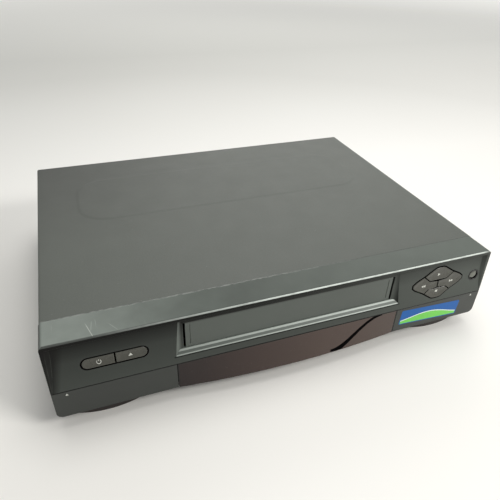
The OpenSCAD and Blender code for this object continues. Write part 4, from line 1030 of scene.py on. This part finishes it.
KEY_ROW = (edge("power_key", 0, "z") + edge("power_key", 1, "z")) / 2
PAIR = (edge("power_key", 0, "x") + edge("eject_key", 1, "x")) / 2
PAIR_SIZE = (47.7, 8.9)
CLUSTER = (edge("rewind_key", 0, "x") + edge("forward_key", 1, "x")) / 2
CLUSTER_Z = KEY_ROW + 1.2
CLUSTER_SIZE = (55.2, 31.9)
CLUSTER_CORNER = ((0.98, 0.09), (0.86, 0.26), (0.55, 0.54), (0.18, 0.97), (0.1, 1.0))
SIDE_ROW = CLUSTER_Z - 1.5
ROW_HEIGHT = 8.0
SPLIT_X = 9.0
SPLIT_SLOPE = (30.0, 25.0)
KEY_SPLIT = 0.9
KEY_BACK = -18.4


def pair_outline(side):
    """Half of the power and eject pair: side -1 is the left half."""
    reach, r = (PAIR_SIZE[0] - PAIR_SIZE[1]) / 2, PAIR_SIZE[1] / 2
    half = arc(reach, KEY_ROW, r, -90, 90, 20) + [(KEY_SPLIT / 2, KEY_ROW + r), (KEY_SPLIT / 2, KEY_ROW - r)]
    return [(PAIR + side * x, z) for x, z in half]


def cluster_outline():
    quarter = [(px * CLUSTER_SIZE[0] / 2, pz * CLUSTER_SIZE[1] / 2) for px, pz in CLUSTER_CORNER]
    points = quarter + [(-x, z) for x, z in reversed(quarter)]
    points += [(-x, -z) for x, z in quarter] + [(x, -z) for x, z in reversed(quarter)]
    return [(CLUSTER + x, CLUSTER_Z + z) for x, z in points]


def slope_normal(side_x, side_z):
    """Normal of a split line that leaves the middle row, pointing to the play or stop key."""
    along = math.hypot(*SPLIT_SLOPE)
    return (-side_x * SPLIT_SLOPE[1] / along, side_z * SPLIT_SLOPE[0] / along)


def middle_key_outline(side_z):
    z = SIDE_ROW + side_z * (ROW_HEIGHT + KEY_SPLIT) / 2
    outline = clip(cluster_outline(), (CLUSTER, z), (0.0, side_z))
    for side_x in (-1, 1):
        outline = clip(outline, (CLUSTER + side_x * SPLIT_X, z), slope_normal(side_x, side_z))
    return outline


def side_key_outline(side_x):
    corner_x = CLUSTER + side_x * SPLIT_X
    outline = clip(cluster_outline(), (corner_x, 0.0), (side_x, 0.0))
    for side_z in (-1, 1):
        z = SIDE_ROW + side_z * (ROW_HEIGHT - KEY_SPLIT) / 2
        normal = slope_normal(side_x, side_z)
        outline = clip(outline, (corner_x, z), (-normal[0], -normal[1]))
    outer = [p for p in outline if abs(p[0] - corner_x) > 0.01]
    outer.sort(key=lambda p: math.atan2(p[1] - SIDE_ROW, abs(p[0] - corner_x)))
    inner_x = CLUSTER + side_x * KEY_SPLIT / 2
    z0, z1 = SIDE_ROW - (ROW_HEIGHT - KEY_SPLIT) / 2, SIDE_ROW + (ROW_HEIGHT - KEY_SPLIT) / 2
    return [(inner_x, z0), (corner_x, z0)] + outer + [(corner_x, z1), (inner_x, z1)]


# Symbols on the keys, in pale print
PRINT = moulded("pale_print", tone(200, 202, 194), 0.5, depth=0.000005, wear=0.05)
PRINT_LIFT = 0.05
DARK = matt_dark()

# How far the caps stand out of the face and how deep they are dished
PAIR_CAP = (0.2, 0.9)
TAPE_CAP = (0.6, 0.5)

# Middles of the symbols, the power ring's outer and inner radius, and the places of the winding arrows
POWER_AT = (PAIR - 11.7, KEY_ROW - 0.6)
POWER_RING = (1.8, 1.35)
EJECT_AT = (PAIR + 11.2, KEY_ROW - 0.4)
PLAY_AT = (CLUSTER, KEY_ROW + 9.5)
STOP_AT = (CLUSTER, KEY_ROW - 8.0)
WIND_X = 15.5
WIND_GAP = 1.1


def symbol(name, node, shapes, surface):
    """A printed sign on a cap."""
    face_plate(name, shapes, PRINT_LIFT, PRINT, node, surface)


def power_and_eject():
    x, z = POWER_AT
    surface = key_cap("power_cap", "power_key", pair_outline(-1), *PAIR_CAP)
    ring = ring_quads(x, z, *POWER_RING, gap=70)
    symbol("power_symbol", "power_key", ring + [bar(x, z + 1.3, 0.45, 1.7)], surface)
    surface = key_cap("eject_cap", "eject_key", pair_outline(1), *PAIR_CAP)
    symbol("eject_symbol", "eject_key", [arrow(*EJECT_AT, 3.2, 2.2, 0)], surface)


def tape_keys():
    surface = key_cap("play_cap", "play_key", middle_key_outline(1), *TAPE_CAP)
    symbol("play_symbol", "play_key", [arrow(*PLAY_AT, 2.6, 2.8, 1)], surface)
    surface = key_cap("stop_cap", "stop_key", middle_key_outline(-1), *TAPE_CAP)
    symbol("stop_symbol", "stop_key", [bar(*STOP_AT, 2.4, 2.4)], surface)
    for side, name in ((-1, "rewind"), (1, "forward")):
        surface = key_cap(name + "_cap", name + "_key", side_key_outline(side), *TAPE_CAP)
        middle = CLUSTER + side * WIND_X
        arrows = [arrow(middle + d, SIDE_ROW, 2.2, 2.6, side) for d in (-WIND_GAP, WIND_GAP)]
        symbol(name + "_symbol", name + "_key", arrows, surface)


HOLE_SHADE_LIFT = 0.08


def hole_shade_line(name, outline, gap, width):
    """A dark line of painted shade on the moulding round a hole for keys, a gap away from the keys' own
    outline.
    """
    turn = sum(ax * bz - bx * az for (ax, az), (bx, bz) in zip(outline, outline[1:] + outline[:1]))
    count = len(outline)
    rings = [[], []]
    for i, (x, z) in enumerate(outline):
        before, after = Vector(outline[i - 1]), Vector(outline[(i + 1) % count])
        along = (after - before).normalized() * math.copysign(1.0, turn)
        for ring, reach in zip(rings, (gap, gap + width)):
            ring.append((x + along.y * reach, z - along.x * reach))
    inner, outer = rings
    quads = [[outer[i], inner[i], inner[(i + 1) % count], outer[(i + 1) % count]] for i in range(count)]
    face_plate(name, quads, HOLE_SHADE_LIFT, DARK, "front_bezel")


def distinct(points):
    """An outline without points that repeat."""
    return [p for p, q in zip(points, points[1:] + points[:1]) if math.dist(p, q) > 0.05]


power_and_eject()
tape_keys()
right_end = pair_outline(1)[:-2]
pair = right_end + [(2 * PAIR - x, z) for x, z in reversed(right_end)]
hole_shade_line("pair_hole_shade", distinct(pair), gap=0.35, width=0.75)
hole_shade_line("tape_keys_hole_shade", distinct(cluster_outline()), gap=0.4, width=0.7)


# A dark collar round the record knob: a raised ring, dark as painted shade for the gap round the knob
def collar(name, node, radius, thick, proud):
    """A ring of half-round section on the upper face, round a node's middle."""
    low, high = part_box(node)
    x0, z0 = (low.x + high.x) / 2 / MM, (low.z + high.z) / 2 / MM
    around, section = 48, 8
    vertices = []
    for i in range(around):
        a = 2 * math.pi * i / around
        for k in range(section + 1):
            b = math.pi * k / section
            r = radius + thick * math.cos(b)
            x, z = x0 + r * math.cos(a), z0 + r * math.sin(a)
            vertices.append(row(x, face_at(z) + 0.05 - proud * math.sin(b), z))
    columns = section + 1
    faces = []
    for i in range(around):
        for k in range(section):
            a, b = i * columns + k, (i + 1) % around * columns + k
            faces.append([a, b, b + 1, a + 1])
    smooth(piece(name, vertices, faces, finishes["ring"], "front_bezel"))


collar("record_collar", "record_key", radius=5.0, thick=0.65, proud=0.55)

# Small marks near the outer end of each door
DOOR_LIFT = 0.06
DOOR_MARKS = {"left_door": (-185.0, 37.2), "right_door": (186.5, 37.8)}
for door, place in DOOR_MARKS.items():
    face_plate(door + "_mark", [arrow(*place, 2.2, 2.0, 0)], DOOR_LIFT, PRINT, door, on_door)

# A dark S-shaped stroke on the window, a painted reflection: it rises between two places and narrows upwards
STROKE_X = (34.0, 86.0)
STROKE_HALF = (3.1, 1.3)
STROKE_LIFT = 0.04


def window_stroke():
    window = NODES["display_window"].data
    tree = BVHTree.FromPolygons([v.co for v in window.vertices], [p.vertices for p in window.polygons])
    steps, across = 60, 4
    vertices = []
    for i in range(steps + 1):
        t = i / steps
        x = STROKE_X[0] + (STROKE_X[1] - STROKE_X[0]) * t
        middle = CASE + (BAND - CASE) * ease(t)
        half = STROKE_HALF[0] + (STROKE_HALF[1] - STROKE_HALF[0]) * t
        for k in range(across + 1):
            z = max(CASE + 0.4, min(BAND - 0.3, middle + half * (2 * k / across - 1)))
            hit = tree.ray_cast(Vector((x * MM, -1.0, z * MM)), Vector((0.0, 1.0, 0.0)))[0]
            vertices.append(Vector((x * MM, hit.y - STROKE_LIFT * MM, z * MM)))
    faces = grid_faces(steps + 1, across + 1, flip=True)
    smooth(piece("window_stroke", vertices, faces, DARK, "display_window"))


window_stroke()

# Sticker on the right door, a made-up design: a green wave with a pale crest on blue
STICKER_AT = (141.0, 27.6)
STICKER_SIZE = (66.0, 16.6)
STICKER_CORNER = 1.2
STICKER_MARGIN = 1.0
STICKER_TURN = math.radians(-3.0)
WAVE_STEPS = 28
WAVE_MIDDLE = -1.8
WAVE_SWING = 3.4
CREST = (-0.1, 0.8)


def on_sticker(u, v):
    """A point of the sticker, from its centre, in front view."""
    c, s = math.cos(STICKER_TURN), math.sin(STICKER_TURN)
    return (STICKER_AT[0] + u * c - v * s, STICKER_AT[1] + u * s + v * c)


def sticker_plate(name, outlines, lift, colour):
    """One printed colour of the sticker."""
    material = moulded(name + "_print", colour, 0.35, grain=900.0, depth=0.000004, wear=0.02, soft=0.0,
                       Specular_IOR_Level=0.3)
    placed = [[on_sticker(u, v) for u, v in outline] for outline in outlines]
    face_plate(name, placed, lift, material, "right_door", on_door)


def sticker_design():
    w, h = STICKER_SIZE[0] / 2, STICKER_SIZE[1] / 2
    u_corner, v_corner = w - STICKER_CORNER, h - STICKER_CORNER
    base = []
    for u, v, start in ((u_corner, v_corner, 0), (-u_corner, v_corner, 90),
                        (-u_corner, -v_corner, 180), (u_corner, -v_corner, 270)):
        base += arc(u, v, STICKER_CORNER, start, start + 90, 4)
    sticker_plate("sticker_base", [base], 0.08, tone(0, 86, 160))
    wave = []
    for i in range(WAVE_STEPS + 1):
        u = -w + STICKER_MARGIN + (2 * w - 2 * STICKER_MARGIN) * i / WAVE_STEPS
        wave.append((u, WAVE_MIDDLE + WAVE_SWING * math.sin((u + w) / (2 * w) * math.pi * 1.6 - 0.9)))
    pairs = list(zip(wave, wave[1:]))
    foot = STICKER_MARGIN - h
    green = [[(a[0], foot), (b[0], foot), b, a] for a, b in pairs]
    sticker_plate("sticker_wave", green, 0.12, tone(112, 200, 84))
    low, top = CREST
    crest = [[(a[0], a[1] + low), (b[0], b[1] + low), (b[0], b[1] + top), (a[0], a[1] + top)]
             for a, b in pairs]
    sticker_plate("sticker_crest", crest, 0.14, tone(232, 240, 236))


sticker_design()


# Stage: one wide pale floor that brightens into the background where nothing stands
def seen_rays(tree):
    """1 for rays that see the background straight, in gloss or through glass."""
    rays = add_node(tree, "ShaderNodeLightPath").outputs
    value = rays["Is Camera Ray"]
    for name in ("Is Glossy Ray", "Is Transmission Ray"):
        most = add_node(tree, "ShaderNodeMath", {0: value, 1: rays[name]}, operation="MAXIMUM")
        value = most.outputs["Value"]
    return value


FLOOR_REACH = 8.0


def stage_floor():
    f = Finish("pale_floor", 0.55)
    x, y, _ = f.axes()
    tint = f.span(f.noise(1.2, 2.0), 0.3, 0.7)
    near = f.mix(tint, tone(236, 234, 229), tone(242, 241, 237))
    f.shown = f.mix(f.span(y, 0.25, 1.1), near, tone(200, 200, 195))
    away = f.math("SQRT", f.plus(f.product(x, x), f.product(y, y)))
    glow = f.product(f.span(away, 0.9, 3.6, 0.0, 0.86), seen_rays(f.tree))
    f.feed("Emission Color", tone(226, 225, 221))
    f.feed("Emission Strength", glow)
    mesh = bpy.data.meshes.new("stage_floor")
    r = FLOOR_REACH
    mesh.from_pydata([(-r, -r, 0), (r, -r, 0), (r, r, 0), (-r, r, 0)], [], [(0, 1, 2, 3)])
    mesh.materials.append(f.done())
    added("stage_floor", mesh)


def area_light(name, place, target, size, power, colour):
    """A soft rectangular lamp that faces a target."""
    lamp = bpy.data.lights.new(name, "AREA")
    lamp.shape = "RECTANGLE"
    lamp.size, lamp.size_y = size
    lamp.energy = power
    lamp.color = colour
    made = added(name, lamp)
    made.location = place
    made.rotation_euler = (Vector(target) - Vector(place)).to_track_quat("-Z", "Y").to_euler()


def surroundings():
    """Plain studio light: a soft world, and pale to the camera, to gloss and through glass."""
    world = bpy.data.worlds.new("studio")
    bpy.context.scene.world = world
    world.use_nodes = True
    tree = world.node_tree
    tree.nodes.clear()
    seen = add_node(tree, "ShaderNodeBackground", {"Color": tone(236, 235, 231)})
    lit = add_node(tree, "ShaderNodeBackground", {"Color": (0.97, 0.99, 1.0, 1.0), "Strength": 0.3})
    shares = {0: seen_rays(tree), 1: lit.outputs["Background"], 2: seen.outputs["Background"]}
    mix = add_node(tree, "ShaderNodeMixShader", shares)
    add_node(tree, "ShaderNodeOutputWorld", {"Surface": mix.outputs["Shader"]})


stage_floor()
surroundings()
WARM_WHITE = (1.0, 0.99, 0.97)
MIDDLE = (0.0, 0.0, 0.05)
area_light("back_softbox", (0.7, 1.4, 1.1), MIDDLE, size=(1.5, 0.9), power=7.7, colour=WARM_WHITE)
area_light("top_softbox", (0.1, 0.1, 1.6), MIDDLE, size=(1.1, 0.9), power=11.0, colour=WARM_WHITE)
area_light("front_softbox", (0.82, -0.95, 0.98), (0.05, -0.1, 0.05), size=(0.5, 0.35), power=14.0,
           colour=(1.0, 0.985, 0.96))

# Camera, set where the photograph was taken from: its place in metres and its turn in degrees
CAMERA_AT = Vector((-0.14721, -0.41675, 0.32723))
CAMERA_TURN = (56.090, -1.673, -20.174)
LENS = 34.64

camera_data = bpy.data.cameras.new("photo_camera")
camera_data.lens = LENS
camera_data.clip_start = 0.01
camera = added("photo_camera", camera_data)
turn = Euler([math.radians(angle) for angle in CAMERA_TURN])
camera.matrix_world = Matrix.LocRotScale(CAMERA_AT, turn, None)
bpy.context.scene.camera = camera
bpy.context.scene.view_settings.view_transform = "Standard"
